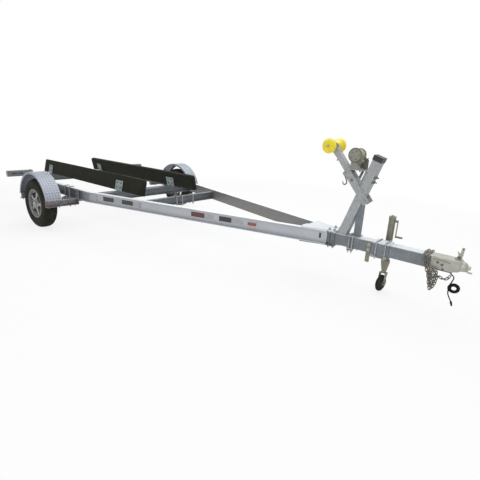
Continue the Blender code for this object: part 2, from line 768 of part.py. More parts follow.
def make_wheel(name, side):
    """Tyre, five-spoke rim and hub of one wheel, all on the axle line."""
    centre = (0, side * TRACK / 2, TYRE_RADIUS)
    out = (0, side, 0)
    pivot = pivot_empty(f"wheel_{name}_axis", centre)
    half, bead = TYRE_WIDTH / 2, RIM_RADIUS + FIT_GAP
    corner = TYRE_SHOULDER
    tread = [
        (bead, half - TYRE_BEAD_INSET),
        (bead + corner, half - corner / 6),
        (TYRE_RADIUS - 2 * corner, half),
        (TYRE_RADIUS - corner, half - corner / 6),
        (TYRE_RADIUS - corner / 3, half - corner * 2 / 3),
        (TYRE_RADIUS, half - corner * 3 / 2),
    ]
    profile = [*tread, *[(radius, -height) for radius, height in reversed(tread)], tread[0]]
    part(f"tyre_{name}", turned(profile, centre, out), "tyre", pivot, centre)

    rim_half = RIM_WIDTH / 2
    seat = RIM_RADIUS - RIM_WALL
    barrel = [
        (RIM_RADIUS, rim_half),
        (RIM_RADIUS, -rim_half),
        (seat, -rim_half),
        (seat, -rim_half + RIM_LIP),
        (RIM_DROP_RADIUS, -rim_half + 3 * RIM_LIP),
        (RIM_DROP_RADIUS, WHEEL_DISC_OFFSET - WHEEL_DISC_THICKNESS),
        (seat, rim_half - RIM_LIP),
        (seat, rim_half),
        (RIM_RADIUS, rim_half),
    ]
    ring = turned(barrel, centre, out)
    face = WHEEL_DISC_OFFSET
    disc_radius = (RIM_DROP_RADIUS + RIM_RADIUS) / 2
    disc = [
        (HUB_CAP_RADIUS + 2 * FIT_GAP, face + WHEEL_DISC_THICKNESS / 2),
        (SPOKE_GAP_ROOT, face + WHEEL_DISC_THICKNESS / 2),
        (disc_radius, face),
        (disc_radius, face - WHEEL_DISC_THICKNESS),
        (HUB_CAP_RADIUS + 2 * FIT_GAP, face - WHEEL_DISC_THICKNESS),
        (HUB_CAP_RADIUS + 2 * FIT_GAP, face + WHEEL_DISC_THICKNESS / 2),
    ]
    web = turned(disc, centre, out)
    windows = []
    stand = along(centre, Vector(centre) + Vector(out))
    for k in range(SPOKES):
        turn = Matrix.Rotation(2 * math.pi * (k + 1 / 2) / SPOKES, 4, "Z")
        reach = math.pi / SPOKES
        low = SPOKE_GAP_ROOT * math.tan(reach) - SPOKE_WIDTH_ROOT / 2
        high = SPOKE_GAP_TIP * math.tan(reach) - SPOKE_WIDTH_TIP / 2
        opening = [(SPOKE_GAP_ROOT, -low), (SPOKE_GAP_TIP, -high), (SPOKE_GAP_TIP, high), (SPOKE_GAP_ROOT, low)]
        windows.append(plate(opening, 3 * WHEEL_DISC_OFFSET, stand @ turn @ Matrix.Translation((0, 0, face))))
    part(f"rim_{name}", joined(ring, [cut(web, windows)]), "alloy", pivot, centre)

    back = face - WHEEL_DISC_THICKNESS - FIT_GAP
    bore = SPINDLE_RADIUS + 2 * FIT_GAP
    end = back - HUB_FLANGE_THICKNESS - HUB_LENGTH / 2
    cap = face + HUB_CAP_LENGTH
    hub = [
        (0, cap),
        (HUB_CAP_RADIUS * 3 / 4, cap),
        (HUB_CAP_RADIUS, cap - HUB_CAP_LENGTH / 4),
        (HUB_CAP_RADIUS, back),
        (HUB_FLANGE_RADIUS, back),
        (HUB_FLANGE_RADIUS, back - HUB_FLANGE_THICKNESS),
        (HUB_RADIUS, back - HUB_FLANGE_THICKNESS),
        (HUB_RADIUS, end),
        (bore, end),
        (bore, HUB_LENGTH / 4 + 2 * FIT_GAP),
        (0, HUB_LENGTH / 4 + 2 * FIT_GAP),
    ]
    part(f"hub_{name}", turned(hub, centre, out, steps=16), "galvanized", pivot, centre)


def make_fender(name, side):
    """Rolled plate with a turned-down lip on both edges, on a channel from the rail at each end."""
    centre = (0, side * TRACK / 2, TYRE_RADIUS)
    half, inner = FENDER_WIDTH / 2, FENDER_RADIUS - FENDER_LIP
    wall = FENDER_THICKNESS
    profile = [
        (FENDER_RADIUS, half),
        (FENDER_RADIUS, -half),
        (inner, -half),
        (inner, wall - half),
        (FENDER_RADIUS - wall, wall - half),
        (FENDER_RADIUS - wall, half - wall),
        (inner, half - wall),
        (inner, half),
    ]
    angles = [FENDER_START + FENDER_SWEEP * k / FENDER_STEPS for k in range(FENDER_STEPS + 1)]
    rings = [
        [
            (radius * math.cos(angle), centre[1] + height, centre[2] + radius * math.sin(angle))
            for radius, height in profile
        ]
        for angle in angles
    ]
    guard = lofted(rings)
    stays = []
    top = centre[2] + FENDER_RADIUS * math.sin(FENDER_START) + STAY_THICKNESS / 2
    mid = FENDER_RADIUS * math.cos(FENDER_START) - FENDER_LIP / 2
    root = side * (RAIL_BACK_SPREAD / 2 + RAIL_FLANGE + FIT_GAP)
    tip = centre[1] + side * half
    outline = channel(STAY_WIDTH, STAY_DROP, STAY_THICKNESS)
    for way in (1, -1):
        section = [(way * side * (across - STAY_WIDTH / 2), up) for across, up in outline]
        route = [(way * mid, y, top - STAY_DROP / 2) for y in (root, tip)]
        flange = block(
            (way * mid - STAY_WIDTH / 2, min(root, root + side * STAY_THICKNESS), top - STAY_DROP),
            (way * mid + STAY_WIDTH / 2, max(root, root + side * STAY_THICKNESS), RAIL_TOP),
        )
        stays += [bent_bar(route, section), flange]
    part(f"fender_{name}", joined(guard, stays), "aluminium")


def lofted(rings):
    """A closed skin through rings of equal count, capped at both ends."""
    count = len(rings[0])

    def fill(bm):
        loops = [[bm.verts.new(point) for point in ring] for ring in rings]
        for lower, upper in zip(loops, loops[1:]):
            for k in range(count):
                after = (k + 1) % count
                bm.faces.new((lower[k], lower[after], upper[after], upper[k]))
        bm.faces.new(list(reversed(loops[0])))
        bm.faces.new(loops[-1])

    return baked(mesh_object("loft", fill))


def make_bunks():
    """Boards on edge that lean in at the top, their upper corners chamfered, each in two saddles."""
    cant = BUNK_CHAMFER
    outline = [
        (-REAR_REACH, 0),
        (BUNK_FRONT, 0),
        (BUNK_FRONT, BUNK_HEIGHT - cant),
        (BUNK_FRONT - cant, BUNK_HEIGHT),
        (-REAR_REACH + 2 * cant, BUNK_HEIGHT),
        (-REAR_REACH, BUNK_HEIGHT - 2 * cant),
    ]
    for name, side in SIDES.items():
        foot = Matrix.Translation((0, side * BUNK_SPREAD / 2, MEMBER_TOP + SADDLE_LIFT))
        lean = foot @ Matrix.Rotation(side * BUNK_LEAN, 4, "X")
        part(f"bunk_{name}", plate(outline, BUNK_THICKNESS, lean @ upright(0, 0, FIT_GAP)), "carpet")


def make_lights():
    """Open channels that reach out from the rails' tops, each with a lamp in its end."""
    low = RAIL_TOP + FIT_GAP
    mid = low + ARM_HEIGHT / 2
    for name, side in SIDES.items():
        root, tip = side * RAIL_BACK_SPREAD / 2, side * ARM_TIP
        outline = channel(ARM_DEPTH, ARM_HEIGHT, ARM_WALL)
        section = [(-side * across, up) for across, up in outline]
        beam = bent_bar([(ARM_FRONT, root, mid), (ARM_FRONT, tip, mid)], section)
        slots = []
        for place in (3 / 4, 1 / 2):
            y = root + (tip - root) * place
            slot = block(
                (ARM_FRONT - 2 * ARM_WALL, y - ARM_SLOT_LENGTH / 2, mid - ARM_SLOT_HEIGHT / 2),
                (ARM_FRONT + OVERRUN, y + ARM_SLOT_LENGTH / 2, mid + ARM_SLOT_HEIGHT / 2),
            )
            slots.append(bevelled(slot, ARM_SLOT_HEIGHT / 3))
        part(f"light_arm_{name}", cut(beam, slots), "galvanized")
        inner = ARM_HEIGHT / 2 - ARM_WALL - FIT_GAP
        ends = sorted((tip, tip - side * LAMP_LENGTH))
        lamp = block(
            (ARM_FRONT - ARM_DEPTH - LAMP_PROUD, ends[0], mid - inner),
            (ARM_FRONT - ARM_WALL - FIT_GAP, ends[1], mid + inner),
        )
        part(f"tail_lamp_{name}", bevelled(lamp, LAMP_ROUNDING), "lens")


def post_axis(distance):
    """A point on the winch post's centre line."""
    return Vector(
        (
            POST_BASE + distance * math.sin(POST_LEAN),
            0,
            TONGUE_TOP + distance * math.cos(POST_LEAN),
        )
    )


def make_post():
    """Leaning square post, its cap, and the brace under it."""
    foot = -POST_SIDE * math.tan(POST_LEAN)
    tube = square_tube(post_axis(foot), post_axis(POST_LENGTH), POST_SIDE, POST_WALL)
    floor = TONGUE_TOP + FIT_GAP
    under = block(
        (POST_BASE - 2 * POST_SIDE, -POST_SIDE, floor - 2 * POST_SIDE),
        (POST_BASE + 2 * POST_SIDE, POST_SIDE, floor),
    )
    part("winch_post", cut(tube, [under]), "galvanized")

    lid = POST_LENGTH + FIT_GAP
    outer = square_tube(
        post_axis(lid - CAP_LENGTH), post_axis(lid + CAP_WALL), POST_SIDE + 2 * CAP_WALL, CAP_WALL - FIT_GAP
    )
    way = (post_axis(1) - post_axis(0)).normalized()
    front = Vector((0, 1, 0)).cross(way)
    turn = Matrix((front, Vector((0, 1, 0)), way)).transposed().to_4x4()
    half = POST_SIDE / 2 + CAP_WALL / 2
    size = Matrix.Diagonal((2 * half, 2 * half, CAP_WALL, 1))
    place = Matrix.Translation(post_axis(lid + CAP_WALL / 2)) @ turn @ size
    top = baked(mesh_object("lid", lambda bm: bmesh.ops.create_cube(bm, size=1, matrix=place)))
    part("post_cap", joined(outer, [top]), "plastic")

    stub = square_tube(
        (BRACE_PLACE, 0, floor), (BRACE_PLACE, 0, floor + POST_LENGTH / 2), BRACE_SIDE, BRACE_WALL
    )
    gap = FIT_GAP / math.cos(POST_LEAN)
    behind = post_solid(post_axis(0), way, POST_SIDE + 2 * gap)
    part("winch_brace", cut(stub, [behind]), "galvanized")


def post_solid(start, way, side):
    """The space of the post and all that lies behind and above its front face."""
    front = Vector((0, 1, 0)).cross(way)
    turn = Matrix((front, Vector((0, 1, 0)), way)).transposed().to_4x4()
    size = Matrix.Diagonal((4 * side, 2 * side, 2 * POST_LENGTH, 1))
    place = Matrix.Translation(start) @ turn @ Matrix.Translation((side / 2 - 2 * side, 0, POST_LENGTH / 2)) @ size
    return baked(mesh_object("room", lambda bm: bmesh.ops.create_cube(bm, size=1, matrix=place)))


def arm_axis(distance, lift=0, y=0):
    """A point on the bow arm's centre line; lift moves it square to the arm, up and forward."""
    sine, cosine = math.sin(ARM_LEAN), math.cos(ARM_LEAN)
    return Vector(
        (
            ARM_FOOT_X + distance * sine + lift * cosine,
            y,
            ARM_FOOT_Z + distance * cosine - lift * sine,
        )
    )


def arm_matrix(distance=0, lift=0, y=0):
    """The arm's own frame: X square to it and up, Y to the left, Z along it."""
    front = arm_axis(0, 1) - arm_axis(0)
    way = arm_axis(1) - arm_axis(0)
    turn = Matrix((front, Vector((0, 1, 0)), way)).transposed().to_4x4()
    return Matrix.Translation(arm_axis(distance, lift, y)) @ turn


def arm_block(low, high):
    """A box in the arm's own frame."""
    low, high = Vector(low), Vector(high)
    matrix = arm_matrix() @ Matrix.Translation((low + high) / 2) @ Matrix.Diagonal((*(high - low), 1))
    return baked(mesh_object("block", lambda bm: bmesh.ops.create_cube(bm, size=1, matrix=matrix)))


def make_bow_arm():
    """Fork astride the post, inner tube, cross bolts and the roller axle."""
    inner = POST_SIDE / 2 + FIT_GAP
    outer = inner + FORK_PLATE
    half = FORK_WIDTH / 2
    cheeks = [
        arm_block((-half, min(a, b), -FORK_BELOW), (half, max(a, b), FORK_LENGTH))
        for a, b in ((inner, outer), (-inner, -outer))
    ]
    inset = FORK_PLATE / 4
    web = arm_block(
        (half - FORK_PLATE, inset - outer, FORK_WEB_START), (half - inset, outer - inset, FORK_LENGTH - inset)
    )
    grip = outer + FORK_BOLT_HEAD_LENGTH
    bolt = rod(arm_axis(0, 0, -grip), arm_axis(0, 0, grip), FORK_BOLT_RADIUS, sides=16)
    heads = [
        rod(arm_axis(0, 0, s * (outer - FORK_PLATE / 2)), arm_axis(0, 0, s * grip), FORK_BOLT_HEAD, sides=6)
        for s in (-1, 1)
    ]
    part("bow_arm_fork", joined(web, [*cheeks, bolt, *heads]), "galvanized")

    lift = half - FORK_PLATE - FIT_GAP - TUBE_SIDE / 2
    tube = square_tube(arm_axis(TUBE_START, lift), arm_axis(TUBE_END, lift), TUBE_SIDE, TUBE_WALL)
    cheek_plates = []
    for s in (-1, 1):
        a, b = s * (TUBE_SIDE / 2 - ROLLER_CHEEK_THICKNESS), s * TUBE_SIDE / 2
        eye = rod(arm_axis(ROLLER_ALONG, lift, a), arm_axis(ROLLER_ALONG, lift, b), ROLLER_CHEEK, sides=24)
        strip = arm_block(
            (lift - ROLLER_CHEEK, min(a, b), TUBE_END - TUBE_SIDE), (lift + ROLLER_CHEEK, max(a, b), ROLLER_ALONG)
        )
        cheek_plates += [eye, strip]
    reach = ROLLER_OUTER + ROLLER_RIM
    axle = rod(
        arm_axis(ROLLER_ALONG, lift, -reach), arm_axis(ROLLER_ALONG, lift, reach), ROLLER_AXLE_RADIUS, sides=24
    )
    part("bow_arm_tube", joined(tube, [*cheek_plates, axle]), "galvanized")

    centre = arm_axis(ROLLER_ALONG, lift)
    pivot = pivot_empty("bow_roller_axis", tuple(centre))
    middle = (ROLLER_NECK + ROLLER_RADIUS) / 2
    for name, side in SIDES.items():
        profile = [
            (ROLLER_BORE, ROLLER_OUTER),
            (ROLLER_RADIUS - ROLLER_RIM, ROLLER_OUTER),
            (ROLLER_RADIUS, ROLLER_OUTER - ROLLER_RIM),
            (ROLLER_RADIUS, ROLLER_OUTER - 2 * ROLLER_RIM),
            (middle, (ROLLER_INNER + ROLLER_OUTER) / 2 - ROLLER_RIM / 2),
            (ROLLER_NECK, ROLLER_INNER),
            (ROLLER_BORE, ROLLER_INNER),
            (ROLLER_BORE, ROLLER_OUTER),
        ]
        cone = turned(profile, centre, (0, side, 0), steps=24)
        part(f"bow_roller_{name}", cone, "yellow", pivot, tuple(centre))


def rear_face(z):
    """X of the post's rear face at a height."""
    rise = (z - TONGUE_TOP) * math.tan(POST_LEAN)
    return POST_BASE + rise - POST_SIDE / 2 / math.cos(POST_LEAN)


def make_winch():
    """Shelf on the post, side plates, strap drum with its gear, and the crank."""
    gap = FIT_GAP / math.cos(POST_LEAN)
    top, under = SHELF_TOP, SHELF_TOP - SHELF_THICKNESS
    thick = SHELF_THICKNESS / math.cos(POST_LEAN)
    foot = top - SHELF_LEG
    outline = [
        (SHELF_REAR, top),
        (SHELF_REAR, under),
        (rear_face(under) - gap - thick, under),
        (rear_face(foot) - gap - thick, foot),
        (rear_face(foot) - gap, foot),
        (rear_face(top) - gap, top),
    ]
    part("winch_shelf", plate(outline, SHELF_WIDTH, upright(0, 0, 0)), "galvanized")

    floor = top + FIT_GAP
    base_top = floor + WINCH_BASE_THICKNESS
    crown = DRUM_RADIUS - WINCH_SIDE_CROWN
    angles = np.linspace(0, math.pi, 9)
    arch = [
        (WINCH_DRUM_X + crown * math.cos(angle), WINCH_DRUM_Z + crown * math.sin(angle)) for angle in angles
    ]
    root, proud = floor + WINCH_BASE_THICKNESS / 2, WINCH_SIDE_THICKNESS / 2
    side_outline = [
        (WINCH_SIDE_REAR, root),
        (WINCH_SIDE_FRONT, root),
        (WINCH_SIDE_FRONT, floor + 3 * WINCH_SIDE_CROWN),
        *arch,
        (WINCH_SIDE_REAR, floor + WINCH_SIDE_CROWN),
    ]
    outer = WINCH_HALF_WIDTH
    walls = [
        plate(side_outline, WINCH_SIDE_THICKNESS, upright(0, s * (outer - WINCH_SIDE_THICKNESS / 2), 0))
        for s in (-1, 1)
    ]
    base = block(
        (WINCH_SIDE_REAR - proud, -outer - proud, floor), (WINCH_SIDE_FRONT + proud, outer + proud, base_top)
    )
    bores = [
        rod((x, -2 * outer, z), (x, 2 * outer, z), SHAFT_RADIUS + 2 * FIT_GAP)
        for x, z in ((WINCH_DRUM_X, WINCH_DRUM_Z), (PINION_X, PINION_Z))
    ]
    part("winch_frame", cut(joined(base, walls), bores), "zinc")

    centre = (WINCH_DRUM_X, 0, WINCH_DRUM_Z)
    pivot = pivot_empty("winch_drum_axis", centre)
    cheek = outer - WINCH_SIDE_THICKNESS - DRUM_SIDE_GAP
    stub = outer + DRUM_SIDE_GAP + GEAR_THICKNESS
    spool = [
        (0, outer + DRUM_SIDE_GAP),
        (SHAFT_RADIUS, outer + DRUM_SIDE_GAP),
        (SHAFT_RADIUS, cheek),
        (DRUM_RADIUS, cheek),
        (DRUM_RADIUS, cheek - DRUM_FLANGE),
        (DRUM_CORE, cheek - DRUM_FLANGE),
        (DRUM_CORE, DRUM_FLANGE - cheek),
        (DRUM_RADIUS, DRUM_FLANGE - cheek),
        (DRUM_RADIUS, -cheek),
        (SHAFT_RADIUS, -cheek),
        (SHAFT_RADIUS, -outer - DRUM_SIDE_GAP),
        (GEAR_RADIUS, -outer - DRUM_SIDE_GAP),
        (GEAR_RADIUS, -stub),
        (0, -stub),
    ]
    part("winch_drum", turned(spool, centre, (0, 1, 0), steps=SMALL_SIDES), "zinc", pivot, centre)
    room = cheek - DRUM_FLANGE - FIT_GAP
    strap = ring_profile(DRUM_CORE + FIT_GAP, STRAP_RADIUS, -room, room)
    part("winch_strap", turned(strap, centre, (0, 1, 0), steps=SMALL_SIDES), "strap", pivot, centre)

    pinion = (PINION_X, 0, PINION_Z)
    axis = pivot_empty("winch_crank_axis", pinion)
    start = -outer - DRUM_SIDE_GAP
    arm_y = outer + CRANK_REACH
    tip = Vector((math.sin(CRANK_ANGLE), 0, math.cos(CRANK_ANGLE))) * CRANK_LENGTH + Vector(pinion)
    shaft = rod(
        (PINION_X, start - GEAR_THICKNESS / 2, PINION_Z), (PINION_X, arm_y + CRANK_THICKNESS / 2, PINION_Z), SHAFT_RADIUS
    )
    boss = rod(
        (PINION_X, arm_y - CRANK_THICKNESS, PINION_Z), (PINION_X, arm_y + CRANK_THICKNESS, PINION_Z), CRANK_WIDTH / 2
    )
    spread = math.hypot(PINION_X - WINCH_DRUM_X, PINION_Z - WINCH_DRUM_Z)
    gear = rod(
        (PINION_X, start, PINION_Z), (PINION_X, start - GEAR_THICKNESS, PINION_Z), spread - GEAR_RADIUS - GEAR_BACKLASH
    )
    way = (tip - Vector(pinion)).normalized()
    turn = Matrix((Vector((0, 1, 0)).cross(way), Vector((0, 1, 0)), way)).transposed().to_4x4()
    place = (
        Matrix.Translation(Vector((PINION_X, arm_y, PINION_Z)) + way * CRANK_LENGTH / 2)
        @ turn
        @ Matrix.Diagonal((CRANK_WIDTH, CRANK_THICKNESS, CRANK_LENGTH, 1))
    )
    bar = baked(mesh_object("bar", lambda bm: bmesh.ops.create_cube(bm, size=1, matrix=place)))
    pin_start = (tip.x, arm_y - CRANK_THICKNESS / 2, tip.z)
    pin = rod(pin_start, (tip.x, arm_y + GRIP_LENGTH, tip.z), SHAFT_RADIUS)
    eye = rod(pin_start, (tip.x, arm_y + CRANK_THICKNESS / 2, tip.z), CRANK_WIDTH / 2)
    low = arm_y + CRANK_THICKNESS
    grip = [
        (0, GRIP_LENGTH),
        (GRIP_RADIUS, GRIP_LENGTH),
        (GRIP_RADIUS * 5 / 4, GRIP_LENGTH / 2),
        (GRIP_RADIUS, 0),
        (0, 0),
    ]
    handle = turned(grip, (tip.x, low, tip.z), (0, 1, 0), steps=24)
    part("winch_crank", joined(shaft, [boss, gear, bar, pin, eye, handle]), "zinc", axis, pinion)


def make_jack():
    """Mount on the tongue, swivelling tube with its crank, ram with foot, yoke and wheel."""
    face = TONGUE_SIDE / 2 + FIT_GAP
    plate_outer = face + MOUNT_PLATE
    ring_outer = plate_outer + MOUNT_RING_THICKNESS
    seat = TONGUE_TOP + FIT_GAP
    low, high = TONGUE_BOTTOM - MOUNT_DROP, seat + MOUNT_PLATE
    middle = JACK_X + MOUNT_AHEAD
    start, end = middle - MOUNT_LENGTH / 2, middle + MOUNT_LENGTH / 2
    sheet = bevelled(block((start, face, low), (end, plate_outer, high)), MOUNT_PLATE / 4)
    ring = rod((JACK_X, face + MOUNT_PLATE / 2, JACK_PIVOT), (JACK_X, ring_outer, JACK_PIVOT), SWIVEL_RADIUS)
    back = bevelled(block((start, -plate_outer, low), (end, -face, high)), MOUNT_PLATE / 4)
    inset = MOUNT_PLATE / 4
    bridge = block((start + inset, -face - inset, seat), (end - inset, face + inset, high - inset / 2))
    bolts = []
    below, reach = TONGUE_BOTTOM - 2 * BOLT_RADIUS, plate_outer + BOLT_RADIUS
    for x in (middle - BOLT_OFFSET, middle + BOLT_OFFSET):
        bolts.append(rod((x, -reach, below), (x, reach, below), BOLT_RADIUS, sides=12))
    part("jack_mount", joined(sheet, [ring, back, bridge, *bolts], solver="MANIFOLD"), "galvanized")

    pivot_place = (JACK_X, ring_outer, JACK_PIVOT)
    pivot = pivot_empty("jack_swing_axis", pivot_place)
    axis_base = (JACK_X, JACK_Y, 0)
    shell = turned(
        ring_profile(JACK_TUBE_RADIUS - JACK_TUBE_WALL, JACK_TUBE_RADIUS, JACK_TUBE_BOTTOM, JACK_TUBE_TOP),
        axis_base,
        (0, 0, 1),
        steps=32,
    )
    hub_start = ring_outer + FIT_GAP
    hub_end = JACK_Y - JACK_TUBE_RADIUS + JACK_TUBE_WALL / 2
    hub = rod((JACK_X, hub_start, JACK_PIVOT), (JACK_X, hub_start + SWIVEL_THICKNESS, JACK_PIVOT), SWIVEL_RADIUS)
    saddle = block(
        (JACK_X - SWIVEL_RADIUS / 2, hub_start + SWIVEL_THICKNESS / 2, JACK_PIVOT - SWIVEL_RADIUS),
        (JACK_X + SWIVEL_RADIUS / 2, hub_end, JACK_PIVOT + SWIVEL_RADIUS),
    )
    lid_radius = JACK_TUBE_RADIUS + JACK_CAP_LIP
    lid = rod(
        (JACK_X, JACK_Y, JACK_TUBE_TOP - FIT_GAP), (JACK_X, JACK_Y, JACK_TUBE_TOP + JACK_CAP), lid_radius, sides=32
    )
    body = joined(shell, [saddle, hub, lid])
    part("jack_tube", body, "zinc", pivot, pivot_place)

    knob_start = (JACK_X + JACK_TUBE_RADIUS + FIT_GAP, JACK_Y, JACK_CRANK_Z)
    knob_end = Vector(knob_start) + Vector((JACK_CRANK_HUB_LENGTH, 0, 0))
    knob = rod(knob_start, knob_end, JACK_CRANK_HUB, sides=16)
    drop_end = (knob_end.x, JACK_Y, JACK_CRANK_Z - JACK_CRANK_DROP)
    lever = block(
        (knob_end.x - JACK_CRANK_THICKNESS, JACK_Y - JACK_CRANK_HUB * 2 / 3, drop_end[2] - JACK_CRANK_HUB),
        (knob_end.x, JACK_Y + JACK_CRANK_HUB * 2 / 3, JACK_CRANK_Z),
    )
    grip_start = (knob_end.x - JACK_CRANK_THICKNESS / 2, JACK_Y, drop_end[2])
    grip_end = (knob_end.x + JACK_GRIP_LENGTH, JACK_Y, drop_end[2])
    handle = rod(grip_start, grip_end, JACK_GRIP_RADIUS, sides=16)
    part("jack_crank", joined(knob, [lever, handle]), "zinc", pivot, pivot_place)

    slide = pivot_empty("jack_slide_axis", (JACK_X, JACK_Y, FOOT_TOP), pivot)
    foot = [
        (0, RAM_TOP),
        (RAM_RADIUS, RAM_TOP),
        (RAM_RADIUS, FOOT_TOP),
        (FOOT_TOP_RADIUS, FOOT_TOP),
        (FOOT_TOP_RADIUS, FOOT_TOP - RAM_RADIUS),
        (FOOT_BOTTOM_RADIUS, FOOT_BOTTOM),
        (0, FOOT_BOTTOM),
    ]
    ram_place = (JACK_X, JACK_Y, FOOT_TOP)
    part("jack_ram", turned(foot, axis_base, (0, 0, 1), steps=32), "zinc", slide, ram_place)

    turn_place = (JACK_X, JACK_Y, YOKE_TOP)
    swivel = pivot_empty("caster_swivel_axis", turn_place, slide)
    axle_x = JACK_X - CASTER_TRAIL
    inner = CASTER_WIDTH / 2 + YOKE_SIDE_GAP
    outer = inner + YOKE_THICKNESS
    half = YOKE_WIDTH / 2
    yoke_top = block((JACK_X - half, JACK_Y - outer, YOKE_TOP), (JACK_X + half, JACK_Y + outer, YOKE_TOP + YOKE_THICKNESS))
    boss = rod((JACK_X, JACK_Y, YOKE_TOP), (JACK_X, JACK_Y, FOOT_BOTTOM - FIT_GAP), FOOT_BOTTOM_RADIUS)
    legs = []
    angles = np.linspace(-math.pi, 0, 9)
    eye = [
        (axle_x + half / 2 * math.cos(angle), CASTER_RADIUS + half / 2 * math.sin(angle)) for angle in angles
    ]
    leg_outline = [*eye, (JACK_X + half, YOKE_TOP + YOKE_THICKNESS), (JACK_X - half, YOKE_TOP + YOKE_THICKNESS)]
    for s in (-1, 1):
        legs.append(plate(leg_outline, YOKE_THICKNESS, upright(0, JACK_Y + s * (inner + YOKE_THICKNESS / 2), 0)))
    pin = rod(
        (axle_x, JACK_Y - outer - YOKE_THICKNESS, CASTER_RADIUS),
        (axle_x, JACK_Y + outer + YOKE_THICKNESS, CASTER_RADIUS),
        CASTER_BORE - FIT_GAP,
        sides=16,
    )
    stand = Matrix.Translation((JACK_X, JACK_Y, 0))
    turn = stand @ Matrix.Rotation(CASTER_TURN, 4, "Z") @ stand.inverted()
    yoke = joined(yoke_top, [boss, *legs, pin])
    yoke.data.transform(turn)
    part("jack_yoke", yoke, "zinc", swivel, turn_place)

    wheel_place = tuple(turn @ Vector((axle_x, JACK_Y, CASTER_RADIUS)))
    wheel_way = Vector((-math.sin(CASTER_TURN), math.cos(CASTER_TURN), 0))
    roll = pivot_empty("caster_wheel_axis", wheel_place, swivel)
    w, r, e = CASTER_WIDTH / 2, CASTER_RADIUS, CASTER_EDGE
    tread = [
        (CASTER_BORE + 2 * FIT_GAP, w),
        (r / 2, w),
        (r - e, w - e / 3),
        (r, w - e),
        (r, e - w),
        (r - e, e / 3 - w),
        (r / 2, -w),
        (CASTER_BORE + 2 * FIT_GAP, -w),
        (CASTER_BORE + 2 * FIT_GAP, w),
    ]
    part("jack_wheel", turned(tread, wheel_place, wheel_way, steps=24), "rubber", roll, wheel_place)

    outer_face = -TONGUE_SIDE / 2 - FIT_GAP
    strip = block(
        (HANGER_X - HANGER_WIDTH / 2, outer_face - HANGER_THICKNESS, TONGUE_TOP - HANGER_LENGTH),
        (HANGER_X + HANGER_WIDTH / 2, outer_face, TONGUE_TOP),
    )
    part("hanger_bar", bevelled(strip, HANGER_THICKNESS / 4), "zinc")


def make_coupler():
    """Stamped sleeve over the tongue, its ball shell, the latch lever and the lip under the nose."""
    inner = TONGUE_SIDE / 2 + FIT_GAP
    half = inner + COUPLER_WALL
    top = TONGUE_TOP + COUPLER_TOP_GAP + COUPLER_WALL
    shoulder = LATCH_X + LATCH_SPUR / 2 + FIT_GAP

    def section(x, reach, low, high):
        corner = COUPLER_WALL
        return [
            (x, -reach, low),
            (x, -reach, high - corner),
            (x, -reach + corner, high),
            (x, reach - corner, high),
            (x, reach, high - corner),
            (x, reach, low),
        ]

    rings = [
        section(COUPLER_REAR, half, COUPLER_SKIRT, top),
        section(TONGUE_FRONT - OVERRUN, half, COUPLER_SKIRT, top),
        section(shoulder, (half + SHELL_RADIUS) / 2, COUPLER_SKIRT + OVERRUN, top),
        section(COUPLER_BALL_X, SHELL_RADIUS * 3 / 4, COUPLER_SKIRT + 2 * OVERRUN, top - 3 * COUPLER_WALL),
    ]
    sleeve = lofted(rings)
    dome_height = top - 2 * COUPLER_WALL - SOCKET_CENTRE_Z
    dome_profile = [
        (SHELL_RADIUS * math.cos(angle), dome_height * math.sin(angle))
        for angle in np.linspace(math.pi / 2, 0, 7)
    ]
    skirt = SOCKET_CENTRE_Z - COUPLER_SKIRT - 2 * OVERRUN - COUPLER_WALL / 4
    dome_profile[0] = (0, dome_height)
    dome_profile += [(SHELL_RADIUS, -skirt), (0, -skirt)]
    dome = turned(dome_profile, (COUPLER_BALL_X, 0, SOCKET_CENTRE_Z), (0, 0, 1), steps=SMALL_SIDES)
    nose = COUPLER_NOSE - COUPLER_BALL_X - SHELL_RADIUS
    beak = rod(
        (COUPLER_BALL_X + SHELL_RADIUS / 2, 0, SOCKET_CENTRE_Z),
        (COUPLER_BALL_X + SHELL_RADIUS + nose, 0, SOCKET_CENTRE_Z),
        SHELL_RADIUS / 2,
        SHELL_RADIUS / 3,
        sides=16,
    )
    hollow = block(
        (COUPLER_REAR - OVERRUN, -inner, 0), (TONGUE_FRONT + FIT_GAP, inner, TONGUE_TOP + COUPLER_TOP_GAP)
    )

    cavity = [(SOCKET_RADIUS * math.cos(a), SOCKET_RADIUS * math.sin(a)) for a in np.linspace(math.pi / 2, 0, 7)]
    cavity[0] = (0, SOCKET_RADIUS)
    depth = SOCKET_CENTRE_Z - COUPLER_SKIRT + OVERRUN
    cavity += [(SOCKET_RADIUS, -depth), (0, -depth)]
    socket = turned(cavity, (COUPLER_BALL_X, 0, SOCKET_CENTRE_Z), (0, 0, 1), steps=SMALL_SIDES)
    low = COUPLER_SKIRT + 2 * OVERRUN
    lip_route = [
        (COUPLER_BALL_X + SHELL_RADIUS / 2, 0, low + LIP_RADIUS),
        (COUPLER_BALL_X + SHELL_RADIUS + LIP_RADIUS, 0, low - LIP_RADIUS),
        (FRONT_REACH, 0, low - LIP_RADIUS),
    ]
    lip = wire(lip_route, LIP_RADIUS, resolution=1)
    part("coupler", cut(joined(sleeve, [dome, beak, lip]), [hollow, socket]), "zinc")

    seat = top + FIT_GAP
    lever = [
        (-LATCH_SPUR, 0),
        (LATCH_SPUR / 2, 0),
        (LATCH_SPUR * 2 / 3, LATCH_SPUR),
        (LATCH_SPUR * 4 / 5, LATCH_RISE),
        (LATCH_SPUR / 5, LATCH_RISE),
        (0, LATCH_SPUR * 3 / 2),
        (-LATCH_SPUR * 2 / 3, LATCH_SPUR * 2),
        (-LATCH_SPUR / 3, LATCH_SPUR),
    ]
    part("coupler_latch", plate(lever, LATCH_THICKNESS, upright(LATCH_X, 0, seat)), "zinc")


